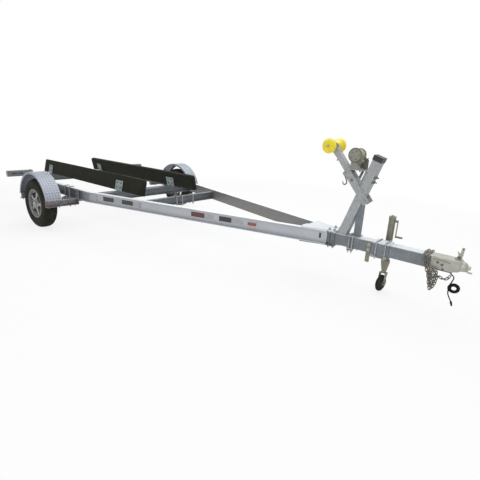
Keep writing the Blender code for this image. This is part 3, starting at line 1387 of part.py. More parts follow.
def chain_link(centre, way, roll):
    """One oval link of round wire, laid along way and rolled about it."""
    half = (CHAIN_PITCH + CHAIN_WIRE) / 2 - CHAIN_BITE
    radius = CHAIN_WIDTH / 2 - CHAIN_WIRE / 2
    turns = np.linspace(-math.pi / 2, math.pi / 2, 4)
    loop = [(radius * math.sin(a), half - radius + radius * math.cos(a)) for a in turns]
    loop += [(-x, -z) for x, z in loop]
    frame = along(centre, Vector(centre) + Vector(way)) @ Matrix.Rotation(roll, 4, "Z")
    return wire([frame @ Vector((x, 0, z)) for x, z in loop], CHAIN_WIRE / 2, resolution=0, closed=True)


def make_chain(name, route):
    """Links threaded along a smooth route, each turned a quarter from the last."""
    dense = smooth(route)
    steps = np.linalg.norm(np.diff(dense, axis=0), axis=1)
    travel = np.concatenate([[0], np.cumsum(steps)])
    count = int(travel[-1] // CHAIN_PITCH)
    marks = np.arange(count + 1) * CHAIN_PITCH
    places = np.stack([np.interp(marks, travel, dense[:, a]) for a in range(3)], axis=1)
    links = []
    for k, (start, end) in enumerate(zip(places, places[1:])):
        links.append(chain_link((start + end) / 2, end - start, math.pi / 2 * (k % 2) + CHAIN_ROLL))
    part(name, joined(links[0], links[1:]), "zinc")


def make_chains():
    """Two chains laid over the tongue behind the coupler, with all that hangs on its right side."""
    drape = TONGUE_SIDE / 2 + FIT_GAP + CHAIN_SEAT
    corner = TONGUE_SIDE / 2 + CHAIN_CORNER_LIFT
    crest = TONGUE_TOP + FIT_GAP + CHAIN_SEAT + CHAIN_CREST_LIFT
    side = drape + COUPLER_WALL + CHAIN_STAND_OFF
    for name, x in (("right", CHAIN_BACK_X), ("left", CHAIN_FRONT_X)):
        route = [
            (x, drape, TONGUE_TOP - CHAIN_START_DROP),
            (x, corner, TONGUE_TOP + CHAIN_CORNER_LIFT),
            (x, 0, crest),
            (x, -corner, TONGUE_TOP + CHAIN_CORNER_LIFT),
        ]
        if name == "right":
            shares = ((1 / 6, 1 / 4), (1 / 2, 1 / 2), (5 / 6, 3 / 4), (1, 1))
            run, drop = CHAIN_BACK_RUN, CHAIN_BACK_DROP
            route += [(x + run * a, -side, TONGUE_TOP - drop * b) for a, b in shares]
        else:
            shares = ((1 / 8, 1 / 3), (2 / 5, 7 / 8), (5 / 8, 1), (7 / 8, 7 / 8))
            run, drop = CHAIN_FRONT_RUN, CHAIN_FRONT_DROP
            route += [(x + run * a, -side, TONGUE_TOP - drop * b) for a, b in shares]
            route.append((x + run, -side, TONGUE_TOP - CHAIN_END_DROP))
        make_chain(f"safety_chain_{name}", route)


def smooth(route, each=12):
    """Points on a smooth curve through the route's own points."""
    points = np.array([route[0], *route, route[-1]], dtype=float)
    shares = np.linspace(0, 1, each, endpoint=False)[:, None]
    spans = []
    for a, b, c, d in zip(points, points[1:], points[2:], points[3:]):
        spans.append(
            (2 * b + (c - a) * shares + (2 * a - 5 * b + 4 * c - d) * shares**2 + (3 * b - a - 3 * c + d) * shares**3)
            / 2
        )
    return np.vstack([*spans, points[-1:]])


def make_lead():
    """Wiring lead: grommet, hanging stretch, coil, tail and plug."""
    base = TONGUE_BOTTOM - FIT_GAP
    exit_z = base - GROMMET_LENGTH
    grommet = rod((GROMMET_X, 0, base), (GROMMET_X, 0, exit_z), GROMMET_RADIUS, LEAD_DIAMETER, sides=16)
    part("lead_grommet", grommet, "rubber")
    coil_top = COIL_Z + COIL_RADIUS + COIL_TUBE + FIT_GAP
    start = (GROMMET_X, 0, exit_z - FIT_GAP)
    end = (COIL_X, COIL_Y, coil_top)
    run = [
        start,
        (GROMMET_X, 0, start[2] - 2 * LEAD_DIAMETER),
        (GROMMET_X + (COIL_X - GROMMET_X) / 2, COIL_Y / 2, (start[2] + coil_top) / 2),
        (COIL_X, COIL_Y, coil_top + 2 * LEAD_DIAMETER),
        end,
    ]
    part("lead_cord", wire(list(thinned(smooth(run), 2 * LEAD_DIAMETER)), LEAD_DIAMETER / 2), "rubber")
    half = COIL_TUBE
    angles = np.linspace(0, 2 * math.pi, 7)
    ring = [(COIL_RADIUS + half * math.cos(a), -half * math.sin(a)) for a in angles]
    part("lead_coil", turned(ring, (COIL_X, COIL_Y, COIL_Z), (0, 1, 0), steps=24), "rubber")
    low = COIL_Z - COIL_RADIUS - COIL_TUBE - FIT_GAP
    tail = [
        (COIL_X, COIL_Y, low),
        (COIL_X, COIL_Y, low - 2 * LEAD_DIAMETER),
        (COIL_X - LEAD_DIAMETER, COIL_Y, low - 5 * LEAD_DIAMETER),
        (COIL_X, COIL_Y, low - 8 * LEAD_DIAMETER),
    ]
    part("lead_tail", wire(list(thinned(smooth(tail), 2 * LEAD_DIAMETER)), LEAD_DIAMETER / 2), "rubber")
    last = Vector(tail[-1]) - Vector((0, 0, FIT_GAP))
    way = Vector(tail[-1]) - Vector(tail[-2])
    plug = rod(last, last + way.normalized() * PLUG_LENGTH, PLUG_RADIUS, PLUG_RADIUS * 2 / 3, sides=16)
    part("lead_plug", plug, "rubber")


def thinned(points, spacing):
    """Points at even spacing along a dense curve."""
    steps = np.linalg.norm(np.diff(points, axis=0), axis=1)
    travel = np.concatenate([[0], np.cumsum(steps)])
    marks = np.linspace(0, travel[-1], max(int(travel[-1] / spacing), 2) + 1)
    return np.stack([np.interp(marks, travel, points[:, a]) for a in range(3)], axis=1)


make_rails()
make_members()
make_tongue()
make_junction()
make_axle()
for side_name, side_sign in SIDES.items():
    make_wheel(side_name, side_sign)
    make_fender(side_name, side_sign)
make_bunks()
make_lights()
make_post()
make_bow_arm()
make_winch()
make_jack()
make_coupler()
make_chains()
make_lead()
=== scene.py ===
"""Looks of the boat trailer: finishes, tyres, tread plate, carpet, clamps, chains and wiring lead.

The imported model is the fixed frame. Each sub-assembly is a class that takes its sizes from the
frame's own boxes and from named fields, works its surfaces out as arrays and dresses them.
Metres, +X forward to the coupler, +Y to the left, +Z up, floor at zero.
"""

from __future__ import annotations

import logging
import math
from collections.abc import Sequence
from dataclasses import dataclass, field
from enum import Enum

import bmesh
import bpy
import numpy as np
from mathutils import Matrix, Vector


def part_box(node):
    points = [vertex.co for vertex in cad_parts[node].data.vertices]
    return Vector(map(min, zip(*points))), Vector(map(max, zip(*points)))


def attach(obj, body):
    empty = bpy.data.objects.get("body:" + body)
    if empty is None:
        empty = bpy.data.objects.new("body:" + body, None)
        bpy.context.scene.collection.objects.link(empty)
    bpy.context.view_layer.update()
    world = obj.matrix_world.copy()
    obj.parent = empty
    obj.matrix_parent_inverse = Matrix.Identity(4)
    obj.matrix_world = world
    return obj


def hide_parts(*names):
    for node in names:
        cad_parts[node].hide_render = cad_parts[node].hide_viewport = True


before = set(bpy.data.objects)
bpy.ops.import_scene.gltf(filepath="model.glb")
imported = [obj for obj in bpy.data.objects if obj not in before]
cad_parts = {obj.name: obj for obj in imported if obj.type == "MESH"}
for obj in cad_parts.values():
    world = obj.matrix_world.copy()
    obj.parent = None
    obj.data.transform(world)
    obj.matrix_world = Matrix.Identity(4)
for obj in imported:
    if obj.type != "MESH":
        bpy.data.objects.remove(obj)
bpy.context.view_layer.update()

LOG = logging.getLogger("boat_trailer")
Colour = tuple[float, float, float]
Place = tuple[float, float, float]
Pair = tuple[float, float]
Point = Sequence[float]
SIDES = {"right": -1, "left": 1}


class Value:
    """A shader socket that takes part in sums: each operator adds one Math node."""

    def __init__(self, shader: Shader, socket: bpy.types.NodeSocket) -> None:
        """Keeps the socket and the shader it belongs to.

        Args:
            shader: The shader whose tree holds the socket.
            socket: An output socket.
        """
        self.shader = shader
        self.socket = socket

    def math(self, operation: str, *terms: Value | float) -> Value:
        """One Math node on this shader's tree.

        Args:
            operation: The node's operation.
            terms: Its inputs in order.

        Returns:
            The node's result.
        """
        return self.shader.node("ShaderNodeMath", {"operation": operation}, dict(enumerate(terms)))

    def __add__(self, other: Value | float) -> Value:
        """Sum."""
        return self.math("ADD", self, other)

    __radd__ = __add__

    def __mul__(self, other: Value | float) -> Value:
        """Product."""
        return self.math("MULTIPLY", self, other)

    __rmul__ = __mul__

    def __sub__(self, other: Value | float) -> Value:
        """Difference."""
        return self.math("SUBTRACT", self, other)

    def __rsub__(self, other: Value | float) -> Value:
        """Difference from a number."""
        return self.math("SUBTRACT", other, self)

    def __truediv__(self, other: Value | float) -> Value:
        """Quotient."""
        return self.math("DIVIDE", self, other)

    def __rtruediv__(self, other: Value | float) -> Value:
        """A number divided by this."""
        return self.math("DIVIDE", other, self)

    def __pow__(self, other: Value | float) -> Value:
        """Power."""
        return self.math("POWER", self, other)

    def sine(self) -> Value:
        """Sine."""
        return self.math("SINE", self)

    def size(self) -> Value:
        """The value without its sign."""
        return self.math("ABSOLUTE", self)

    def rise(self, low: float, high: float, kind: str = "SMOOTHSTEP") -> Value:
        """A step from 0 at low to 1 at high; low may be the larger of the two.

        Args:
            low: Where the step starts.
            high: Where it is full.
            kind: SMOOTHSTEP, or LINEAR for a straight one.

        Returns:
            The step's value.
        """
        settings = {"interpolation_type": kind}
        return self.shader.node("ShaderNodeMapRange", settings, {0: self, 1: low, 2: high})


class Shader:
    """One Principled material and the nodes that feed it."""

    def __init__(self, name: str) -> None:
        """Makes the material.

        Args:
            name: The material's name.
        """
        self.material = bpy.data.materials.new(name)
        self.material.use_nodes = True
        self.tree = self.material.node_tree
        self.surface = self.tree.nodes["Principled BSDF"]

    def node(
        self, kind: str, settings: dict | None = None, inputs: dict | None = None, output: int | str = 0
    ) -> Value:
        """Any node, with its settings set before its sockets.

        Args:
            kind: The node's type.
            settings: Its properties; "stops" gives a ramp its positions and colours.
            inputs: Values or links by socket name or number.
            output: Which output to hand back.

        Returns:
            The output as a value.
        """
        made = self.tree.nodes.new(kind)
        for key, value in (settings or {}).items():
            if key == "stops":
                for stop, (place, colour) in zip(self._stops(made, len(value)), value):
                    stop.position = place
                    stop.color = (*colour, 1)
            else:
                setattr(made, key, value)
        for key, value in (inputs or {}).items():
            self._feed(made.inputs[key], value)
        return Value(self, made.outputs[output])

    @staticmethod
    def _stops(ramp: bpy.types.Node, count: int) -> list[bpy.types.ColorRampElement]:
        """The ramp's stops, as many as are asked for.

        Args:
            ramp: The node that holds the ramp.
            count: How many stops it gets.

        Returns:
            Its stops.
        """
        stops = ramp.color_ramp.elements
        while len(stops) < count:
            stops.new(1)
        return list(stops)

    def _feed(self, socket: bpy.types.NodeSocket, value: Value | float | Sequence[float]) -> None:
        """Links a value to a socket, or sets the socket's own number or colour.

        Args:
            socket: An input socket.
            value: A link, a number or the parts of a colour or vector.
        """
        if isinstance(value, Value):
            self.tree.links.new(value.socket, socket)
        elif isinstance(value, (int, float)):
            socket.default_value = value
        else:
            wide = len(socket.default_value) == 4 and len(value) == 3
            socket.default_value = (*value, 1) if wide else value

    def place(self, scale: Point = (1, 1, 1), turn: Point = (0, 0, 0)) -> Value:
        """Object coordinates, stretched and turned.

        Args:
            scale: Stretch along X, Y and Z.
            turn: Turn about X, Y and Z in radians.

        Returns:
            The coordinates.
        """
        here = self.node("ShaderNodeTexCoord", output="Object")
        return self.node("ShaderNodeMapping", {}, {"Vector": here, "Rotation": turn, "Scale": scale})

    def axes(self, place: Value) -> tuple[Value, Value, Value]:
        """The three coordinates of a place."""
        split = self.node("ShaderNodeSeparateXYZ", {}, {0: place}).socket.node
        return tuple(Value(self, out) for out in split.outputs)

    def noise(self, place: Value, scale: float, detail: float = 3) -> Value:
        """Soft noise from 0 to 1; scale is features per metre."""
        return self.node("ShaderNodeTexNoise", {}, {"Vector": place, "Scale": scale, "Detail": detail})

    def grains(self, place: Value, scale: float, output: str = "Color") -> Value:
        """Flat grains with one value each; scale is grains per metre."""
        return self.node("ShaderNodeTexVoronoi", {}, {"Vector": place, "Scale": scale}, output)

    def mix(self, share: Value | float, low: Value | Colour, high: Value | Colour) -> Value:
        """A colour between two others."""
        return self.node("ShaderNodeMix", {"data_type": "RGBA"}, {0: share, 6: low, 7: high}, 2)

    def bump(self, height: Value, depth: float, strength: float = 1) -> None:
        """Feeds the normal from a height.

        Args:
            height: The height, from 0 to 1.
            depth: How deep 1 is, in metres.
            strength: Share of the effect.
        """
        tilt = self.node("ShaderNodeBump", {}, {"Height": height, "Distance": depth, "Strength": strength})
        self._feed(self.surface.inputs["Normal"], tilt)

    def dress(self, **sockets: Value | float | Colour) -> None:
        """Sets or links the Principled sockets, written with _ for a space."""
        for key, value in sockets.items():
            self._feed(self.surface.inputs[key.replace("_", " ").title().replace("Ior", "IOR")], value)


@dataclass(frozen=True)
class Finish:
    """A finish: its base colour, roughness and metallic share, and its name."""

    name: str
    colour: Colour
    roughness: float = 0.5
    metallic: float = 0.0

    def material(self) -> bpy.types.Material:
        """The finish's material, made once; its name differs from the record's slots.

        Returns:
            The material.
        """
        name = f"{self.name}_finish"
        found = bpy.data.materials.get(name)
        if found:
            return found
        shader = Shader(name)
        shader.dress(metallic=self.metallic)
        self.paint(shader)
        return shader.material

    def shade(self, share: float) -> Colour:
        """The base colour times a share."""
        return tuple(min(part * share, 1.0) for part in self.colour)

    def paint(self, shader: Shader) -> None:
        """Moulded or painted surface: faint mottle and a fine grain.

        Args:
            shader: The shader that is fed.
        """
        grain = shader.noise(shader.place(), 260)
        shader.dress(
            base_color=shader.mix(shader.noise(shader.place(), 18), self.shade(0.8), self.shade(1.2)),
            roughness=grain * 0.16 + (self.roughness - 0.08),
        )
        shader.bump(grain, 0.0004, 0.4)


@dataclass(frozen=True)
class Galvanised(Finish):
    """Hot-dip zinc: grey spangles, white bloom in patches and soft runs."""

    spangle: float = 0.011
    bloom: float = 0.25

    def paint(self, shader: Shader) -> None:
        """Flat grains set the tone, noise sets bloom and streaks.

        Args:
            shader: The shader that is fed.
        """
        place = shader.place()
        grain = shader.grains(place, 1 / self.spangle)
        tone = shader.axes(grain)[0]
        cloud = shader.noise(place, 9, 5)
        streak = shader.noise(shader.place((60, 60, 6)), 1, 4)
        share = tone * 0.4 + cloud * 0.6
        base = shader.mix(share, self.shade(0.72), self.shade(1.28))
        dull = shader.mix(cloud.rise(0.55, 0.75) * self.bloom, base, self.shade(1.7))
        shader.dress(
            base_color=self.top_lit(shader, dull),
            roughness=tone * 0.16 + streak * 0.14 + (self.roughness - 0.15),
        )
        shader.bump(shader.noise(place, 55, 4) + tone * 0.25, 0.0008, 0.35)

    def top_lit(self, shader: Shader, base: Value) -> Value:
        """The colour with painted top light; plain zinc has none and is the same all round."""
        return base


@dataclass(frozen=True)
class TongueZinc(Galvanised):
    """Zinc of the tongue and its fittings, with a painted highlight that makes the upper faces pale."""

    low: float = 0.4850
    high: float = 0.4902
    pale: Colour = (0.66, 0.70, 0.74)

    def top_lit(self, shader: Shader, base: Value) -> Value:
        """Painted highlight: pale where z is above the tongue's upper corners.

        Args:
            shader: The shader whose nodes are used.
            base: The clean colour.

        Returns:
            The colour as it is used.
        """
        _, _, z = shader.axes(shader.place())
        patchy = shader.noise(shader.place(), 12, 4) * 0.2 + 0.8
        # painted highlight: the faces above the tongue's upper corners made pale, as if lit from above
        return shader.mix(z.rise(self.low, self.high) * patchy, base, self.pale)


@dataclass(frozen=True)
class MillAluminium(Finish):
    """Extruded or rolled aluminium: lines along one axis, water marks and light scuffs."""

    lines: Place = (1.0, 90.0, 420.0)

    def paint(self, shader: Shader) -> None:
        """Long noise gives the die lines, clouds the water marks.

        Args:
            shader: The shader that is fed.
        """
        place = shader.place()
        lines = shader.noise(shader.place(self.lines), 1, 2)
        cloud = shader.noise(place, 5, 5)
        marks = shader.noise(place, 38, 4).rise(0.58, 0.78)
        base = shader.mix(cloud * 0.7 + lines * 0.3, self.shade(0.82), self.shade(1.14))
        shader.dress(
            base_color=self.dirt_and_painted_light(shader, shader.mix(marks * 0.3, base, self.shade(0.66))),
            roughness=lines * 0.14 + cloud * 0.16 + (self.roughness - 0.15),
        )
        shader.bump(lines, 0.0003, 0.4)

    def dirt_and_painted_light(self, shader: Shader, base: Value) -> Value:
        """The colour with the dirt and painted light of the place it is used in; plain metal has neither."""
        return base


@dataclass(frozen=True)
class RailLine:
    """Where a side rail's web stands: level with the bunks, then closing in to the tongue.

    The places are counted from the axle, and the web's back is at spread behind the bend.
    """

    bend: float = 0.580
    front: float = 3.420
    spread: float = 0.780
    close: float = 0.0511
    web: float = 0.005

    def face(self, x: np.ndarray | float) -> np.ndarray:
        """How far out the web's open face stands at x."""
        share = np.clip((np.asarray(x, float) - self.bend) / (self.front - self.bend), 0, 1)
        return self.spread + (self.close - self.spread) * share + self.web


@dataclass(frozen=True)
class RailAluminium(MillAluminium):
    """Rail aluminium: a painted highlight on top, painted shade on the web's back and on the web beside the
    wheel.
    """

    line: RailLine = RailLine()
    # Painted light: dull is painted shade on the web's back, the colour after it painted shade on the web
    # beside the wheel, and bright a painted highlight on the upper face.
    dull: Colour = (0.150, 0.142, 0.125)
    web_shade: Colour = (0.045, 0.052, 0.058)
    web_shade_ends: Pair = (0.62, 0.12)
    web_shade_heights: Pair = (0.474, 0.468)
    bright: Colour = (0.80, 0.82, 0.85)
    bright_depths: Pair = (0.004, 0.001)

    def dirt_and_painted_light(self, shader: Shader, base: Value) -> Value:
        """Painted shade on the back, where |y| is below the web's middle, and on the web below the top
        flange, fading ahead of the wheel.

        A painted highlight makes the upper face, above all but the last millimetres of z, the brightest part.

        Args:
            shader: The shader whose nodes are used.
            base: The clean colour.

        Returns:
            The colour as it is used.
        """
        x, y, z = shader.axes(shader.place())
        share = x.rise(AXLE_X + self.line.bend, AXLE_X + self.line.front, "LINEAR")
        half = share * (self.line.close - self.line.spread) + self.line.spread
        # painted shade on the web's back
        back = (y.size() - half).rise(0.6 * self.line.web, 0.4 * self.line.web)
        patchy = shader.noise(shader.place(), 14, 5) * 0.3 + 0.7
        # painted shade on the web below the top flange, beside the wheel
        near = x.rise(*(AXLE_X + end for end in self.web_shade_ends)) * z.rise(*self.web_shade_heights)
        web_shaded = shader.mix(near * patchy * 0.85, base, self.web_shade)
        # painted highlight on the upper face
        top = float(corners("rail_left")[1, 2])
        upper = z.rise(*(top - depth for depth in self.bright_depths))
        return shader.mix(upper, shader.mix(back * 0.74, web_shaded, self.dull), self.bright)


@dataclass(frozen=True)
class WheelAlloy(MillAluminium):
    """Wheel alloy: light spokes and lip with painted shade in a ring between them, the barrel behind the
    spokes brown with brake dust.
    """

    disc: float = 1.176
    dust: Colour = (0.050, 0.038, 0.024)
    fade: float = 0.006
    # The next colour is painted shade in a ring between the spokes and the lip.
    painted: Colour = (0.100, 0.096, 0.080)
    shade_ring_edges: tuple[Pair, Pair] = ((0.134, 0.144), (0.171, 0.166))

    def dirt_and_painted_light(self, shader: Shader, base: Value) -> Value:
        """Dust where |y| is less than the disc's back; painted shade in a ring between the spokes and the
        lip.

        Args:
            shader: The shader whose nodes are used.
            base: The clean colour.

        Returns:
            The colour as it is used.
        """
        x, y, z = shader.axes(shader.place())
        hub = middle("hub_left")
        radius = ((x - hub[0]) ** 2 + (z - hub[2]) ** 2) ** 0.5
        inner, outer = self.shade_ring_edges
        # painted shade in a ring between the spokes and the lip
        ring = radius.rise(*inner) * radius.rise(*outer)
        ring_shaded = shader.mix(ring * 0.75, base, self.painted)
        behind = y.size().rise(self.disc + self.fade, self.disc - self.fade)
        return shader.mix(behind * 0.92, ring_shaded, self.dust)


@dataclass(frozen=True)
class FenderPlate(MillAluminium):
    """Fender plate with mud baked on its brackets."""

    mud: Colour = (0.185, 0.155, 0.135)
    mud_heights: Pair = (0.406, 0.386)

    def dirt_and_painted_light(self, shader: Shader, base: Value) -> Value:
        """Mud below the bracket's top, in patches.

        Args:
            shader: The shader whose nodes are used.
            base: The clean colour.

        Returns:
            The colour as it is used.
        """
        _, _, z = shader.axes(shader.place())
        patch = shader.noise(shader.place(), 26, 5).rise(0.35, 0.60) * 0.8 + 0.2
        return shader.mix(z.rise(*self.mud_heights) * patch * 0.9, base, self.mud)


@dataclass(frozen=True)
class ZincPlate(Finish):
    """Electroplated zinc that has gone yellow and grey, with rust in small spots."""

    rust: float = 0.35
    rust_colour: Colour = (0.20, 0.11, 0.06)

    def paint(self, shader: Shader) -> None:
        """Clouds shift the tone, sparse spots of noise bring the rust.

        Args:
            shader: The shader that is fed.
        """
        place = shader.place()
        cloud = shader.noise(place, 16, 5)
        fine = shader.noise(place, 150, 3)
        spots = shader.noise(place, 46, 6).rise(0.63, 0.74)
        base = shader.mix(cloud, self.shade(0.7), self.shade(1.3))
        shader.dress(
            base_color=shader.mix(spots * self.rust, base, self.rust_colour),
            roughness=cloud * 0.2 + fine * 0.1 + (self.roughness - 0.12) + spots * 0.2,
            metallic=self.metallic - spots * 0.4,
        )
        shader.bump(fine, 0.0003, 0.4)


@dataclass(frozen=True)
class Rubber(Finish):
    """Tyre and tread rubber: charcoal with grey dust in the low places."""

    dust: float = 0.25
    dust_colour: Colour = (0.085, 0.082, 0.055)

    def paint(self, shader: Shader) -> None:
        """Two noises, one for the moulded grain and one for the dust.

        Args:
            shader: The shader that is fed.
        """
        place = shader.place()
        grain = shader.noise(place, 420, 2)
        dust = shader.noise(place, 11, 5).rise(0.42, 0.72) * self.dust
        shader.dress(
            base_color=shader.mix(dust, self.colour, self.dust_colour),
            roughness=grain * 0.12 + (self.roughness - 0.06),
            specular_ior_level=0.22,
        )
        shader.bump(grain, 0.0003, 0.5)


@dataclass(frozen=True)
class Carpet(Finish):
    """Needled marine carpet: dense loops with lint and flattened stretches."""

    loops: float = 900.0

    def paint(self, shader: Shader) -> None:
        """Fine grains make the pile, wide noise the wear, tall noise the ribs.

        Args:
            shader: The shader that is fed.
        """
        place = shader.place()
        pile = shader.grains(place, self.loops, "Distance")
        fuzz = shader.noise(place, 330, 4)
        wear = shader.noise(shader.place((3, 30, 14)), 1, 4)
        lint = shader.noise(place, 120, 5).rise(0.66, 0.78)
        base = shader.mix(fuzz * 0.6 + wear * 0.4, self.shade(0.45), self.shade(1.6))
        shader.dress(
            base_color=shader.mix(lint * 0.4, base, self.shade(3.2)),
            roughness=self.roughness,
            specular_ior_level=0.15,
            sheen_weight=0.06,
            sheen_roughness=0.6,
        )
        shader.bump(pile * 0.6 + fuzz, 0.002, 0.8)


@dataclass(frozen=True)
class Urethane(Finish):
    """Cast urethane: slightly clear and glossy, darker where the cast is thick."""

    deep: Colour = (0.92, 0.62, 0.01)

    def paint(self, shader: Shader) -> None:
        """Soft clouds of a deeper shade under a clear gloss.

        Args:
            shader: The shader that is fed.
        """
        cloud = shader.noise(shader.place(), 22, 3)
        shader.dress(
            base_color=shader.mix(cloud.rise(0.35, 0.80) * 0.5, self.colour, self.deep),
            roughness=cloud * 0.12 + (self.roughness - 0.06),
            transmission_weight=0.22,
            coat_weight=0.2,
        )
        shader.bump(shader.noise(shader.place(), 30, 2), 0.0003, 0.2)


@dataclass(frozen=True)
class Webbing(Finish):
    """Woven strap: ribs across the width and a finer weave between them."""

    pitch: float = 0.0022

    def paint(self, shader: Shader) -> None:
        """Products of sines over the strap's width and its wound height.

        Args:
            shader: The shader that is fed.
        """
        x, across, z = shader.axes(shader.place())
        turn = 2 * math.pi / self.pitch
        weave = ((across * turn).sine() * ((x + z) * turn * 0.8).sine()) * 0.5 + 0.5
        soil = shader.noise(shader.place(), 24, 4)
        base = shader.mix(weave * 0.5 + soil * 0.5, self.shade(0.6), self.shade(1.25))
        shader.dress(base_color=base, roughness=self.roughness, sheen_weight=0.2)
        shader.bump(weave, 0.0006, 0.7)


@dataclass(frozen=True)
class Lens(Finish):
    """Moulded red lens: ribs behind a smooth face."""

    pitch: float = 0.006

    def prisms(self, shader: Shader) -> Value:
        """Height of the prisms: the product of the sines of y and z, brought to 0 to 1.

        Args:
            shader: The shader whose nodes are used.

        Returns:
            The height.
        """
        _, y, z = shader.axes(shader.place())
        turn = 2 * math.pi / self.pitch
        return ((y * turn).sine() * (z * turn).sine()) * 0.5 + 0.5

    def paint(self, shader: Shader) -> None:
        """Prisms behind a smooth face.

        Args:
            shader: The shader that is fed.
        """
        prism = self.prisms(shader)
        shader.dress(
            base_color=shader.mix(prism, self.shade(0.6), self.shade(1.3)),
            roughness=self.roughness,
            coat_weight=0.6,
        )
        shader.bump(prism, 0.0008, 0.25)


@dataclass(frozen=True)
class TailLamp(Lens):
    """Rear lamp: red lens at the rear and at the outer end, black housing elsewhere."""

    housing: Colour = (0.020, 0.021, 0.022)
    rear_depths: Pair = (0.010, 0.009)
    end_depths: Pair = (0.007, 0.006)

    def paint(self, shader: Shader) -> None:
        """The lens is where x is near the rear face or |y| near the outer end.

        Args:
            shader: The shader that is fed.
        """
        low, high = corners("tail_lamp_left")
        x, y, _ = shader.axes(shader.place())
        prism = self.prisms(shader)
        rear = x.rise(*(low[0] + depth for depth in self.rear_depths))
        end = y.size().rise(*(high[1] - depth for depth in self.end_depths))
        lens = rear.math("MAXIMUM", rear, end)
        shader.dress(
            base_color=shader.mix(lens, self.housing, shader.mix(prism, self.shade(0.6), self.shade(1.3))),
            roughness=lens * (self.roughness - 0.5) + 0.5,
            coat_weight=lens * 0.5,
        )
        shader.bump(prism * lens, 0.0008, 0.25)


@dataclass(frozen=True)
class Reflector(Finish):
    """Reflective tape: small cells under a clear film, with edges that have lifted dirt."""

    cell: float = 0.0035

    def paint(self, shader: Shader) -> None:
        """Cells of flat tone set the pattern, noise the dirt.

        Args:
            shader: The shader that is fed.
        """
        tone = shader.axes(shader.grains(shader.place(), 1 / self.cell))[0]
        dirt = shader.noise(shader.place(), 40, 4)
        base = shader.mix(tone * 0.5 + dirt * 0.5, self.shade(0.7), self.shade(1.35))
        shader.dress(base_color=base, roughness=dirt * 0.2 + (self.roughness - 0.1), coat_weight=0.4)
        shader.bump(tone, 0.0002, 0.3)


class Stock(Enum):
    """The finishes the trailer is made of, by what they are used for."""

    RAIL = RailAluminium("rail_aluminium", (0.50, 0.52, 0.55), 0.45, 0.35)
    PLATE = FenderPlate("fender_plate", (0.270, 0.296, 0.352), 0.42, 0.30, (70.0, 300.0, 70.0))
    # TREAD is the fender plate's aluminium at twice PLATE's colour: a painted highlight on the lozenges and
    # the rolled edges.
    TREAD = MillAluminium("tread_lozenge", (0.54, 0.56, 0.61), 0.36, 0.30, (70.0, 70.0, 70.0))
    STEEL = Galvanised("galvanised_steel", (0.172, 0.190, 0.207), 0.50, 0.30)
    TONGUE = TongueZinc("galvanised_tongue", (0.172, 0.190, 0.207), 0.50, 0.30)
    POST = Galvanised("galvanised_post", (0.350, 0.364, 0.370), 0.52, 0.25, 0.016)
    BRACKET = Galvanised("galvanised_bracket", (0.31, 0.375, 0.37), 0.50, 0.25)
    ZINC = ZincPlate("zinc_plate", (0.150, 0.148, 0.118), 0.46, 0.35)
    WINCH = ZincPlate("winch_zinc", (0.255, 0.255, 0.212), 0.48, 0.25, 0.30)
    CHAIN = ZincPlate("chain_zinc", (0.19, 0.18, 0.15), 0.46, 0.50, 0.6)
    JACK = ZincPlate("jack_zinc", (0.225, 0.215, 0.165), 0.42, 0.35, 0.25)
    BRIGHT = ZincPlate("bright_zinc", (0.400, 0.390, 0.345), 0.38, 0.40, 0.45)
    ALLOY = WheelAlloy("wheel_alloy", (0.36, 0.37, 0.39), 0.34, 0.45, (60.0, 60.0, 60.0))
    TYRE = Rubber("tyre_rubber", (0.016, 0.017, 0.010), 0.84)
    BLACK = Rubber("black_rubber", (0.008, 0.008, 0.008), 0.66, 0.0, 0.06)
    PLASTIC = Finish("black_plastic", (0.022, 0.023, 0.026), 0.48)
    CARPET = Carpet("bunk_carpet", (0.013, 0.0145, 0.0065), 0.95)
    YELLOW = Urethane("yellow_urethane", (1.0, 0.86, 0.030), 0.30)
    STRAP = Webbing("winch_webbing", (0.40, 0.40, 0.23), 0.85)
    RED = TailLamp("red_lens", (0.22, 0.012, 0.016), 0.22)
    AMBER = Lens("marker_lens", (0.34, 0.06, 0.02), 0.25)
    TAPE_DARK = Reflector("tape_dark", (0.030, 0.020, 0.024), 0.35)
    TAPE_RED = Reflector("tape_red", (0.11, 0.028, 0.022), 0.35)
    TAPE_SILVER = Reflector("tape_silver", (0.40, 0.41, 0.42), 0.30)


NODE_FINISH = {
    Stock.RAIL: ["rail_left", "rail_right"],
    Stock.PLATE: ["fender_left", "fender_right"],
    Stock.STEEL: [
        "axle",
        "crossmember_front",
        "crossmember_middle",
        "crossmember_rear",
        "light_arm_left",
        "light_arm_right",
        "winch_brace",
    ],
    Stock.TONGUE: ["tongue", "junction_clamp", "jack_mount"],
    Stock.POST: ["winch_post", "winch_shelf", "bow_arm_fork", "bow_arm_tube"],
    Stock.WINCH: ["winch_frame", "winch_drum", "winch_crank"],
    Stock.JACK: ["jack_tube", "jack_ram", "jack_crank", "jack_yoke", "hanger_bar"],
    Stock.CHAIN: ["safety_chain_left", "safety_chain_right"],
    Stock.BRIGHT: ["coupler", "coupler_latch", "hub_left", "hub_right"],
    Stock.ALLOY: ["rim_left", "rim_right"],
    Stock.TYRE: ["tyre_left", "tyre_right", "jack_wheel"],
    Stock.BLACK: ["lead_grommet", "lead_plug", "lead_cord", "lead_coil", "lead_tail"],
    Stock.PLASTIC: ["post_cap"],
    Stock.CARPET: ["bunk_left", "bunk_right"],
    Stock.YELLOW: ["bow_roller_left", "bow_roller_right"],
    Stock.STRAP: ["winch_strap"],
    Stock.RED: ["tail_lamp_left", "tail_lamp_right"],
}


def outward(mesh: bpy.types.Mesh) -> None:
    """Turns every closed part of a mesh so that its faces look out.

    Args:
        mesh: The mesh, which is changed.
    """
    work = bmesh.new()
    work.from_mesh(mesh)
    bmesh.ops.recalc_face_normals(work, faces=work.faces)
    work.to_mesh(mesh)
    work.free()


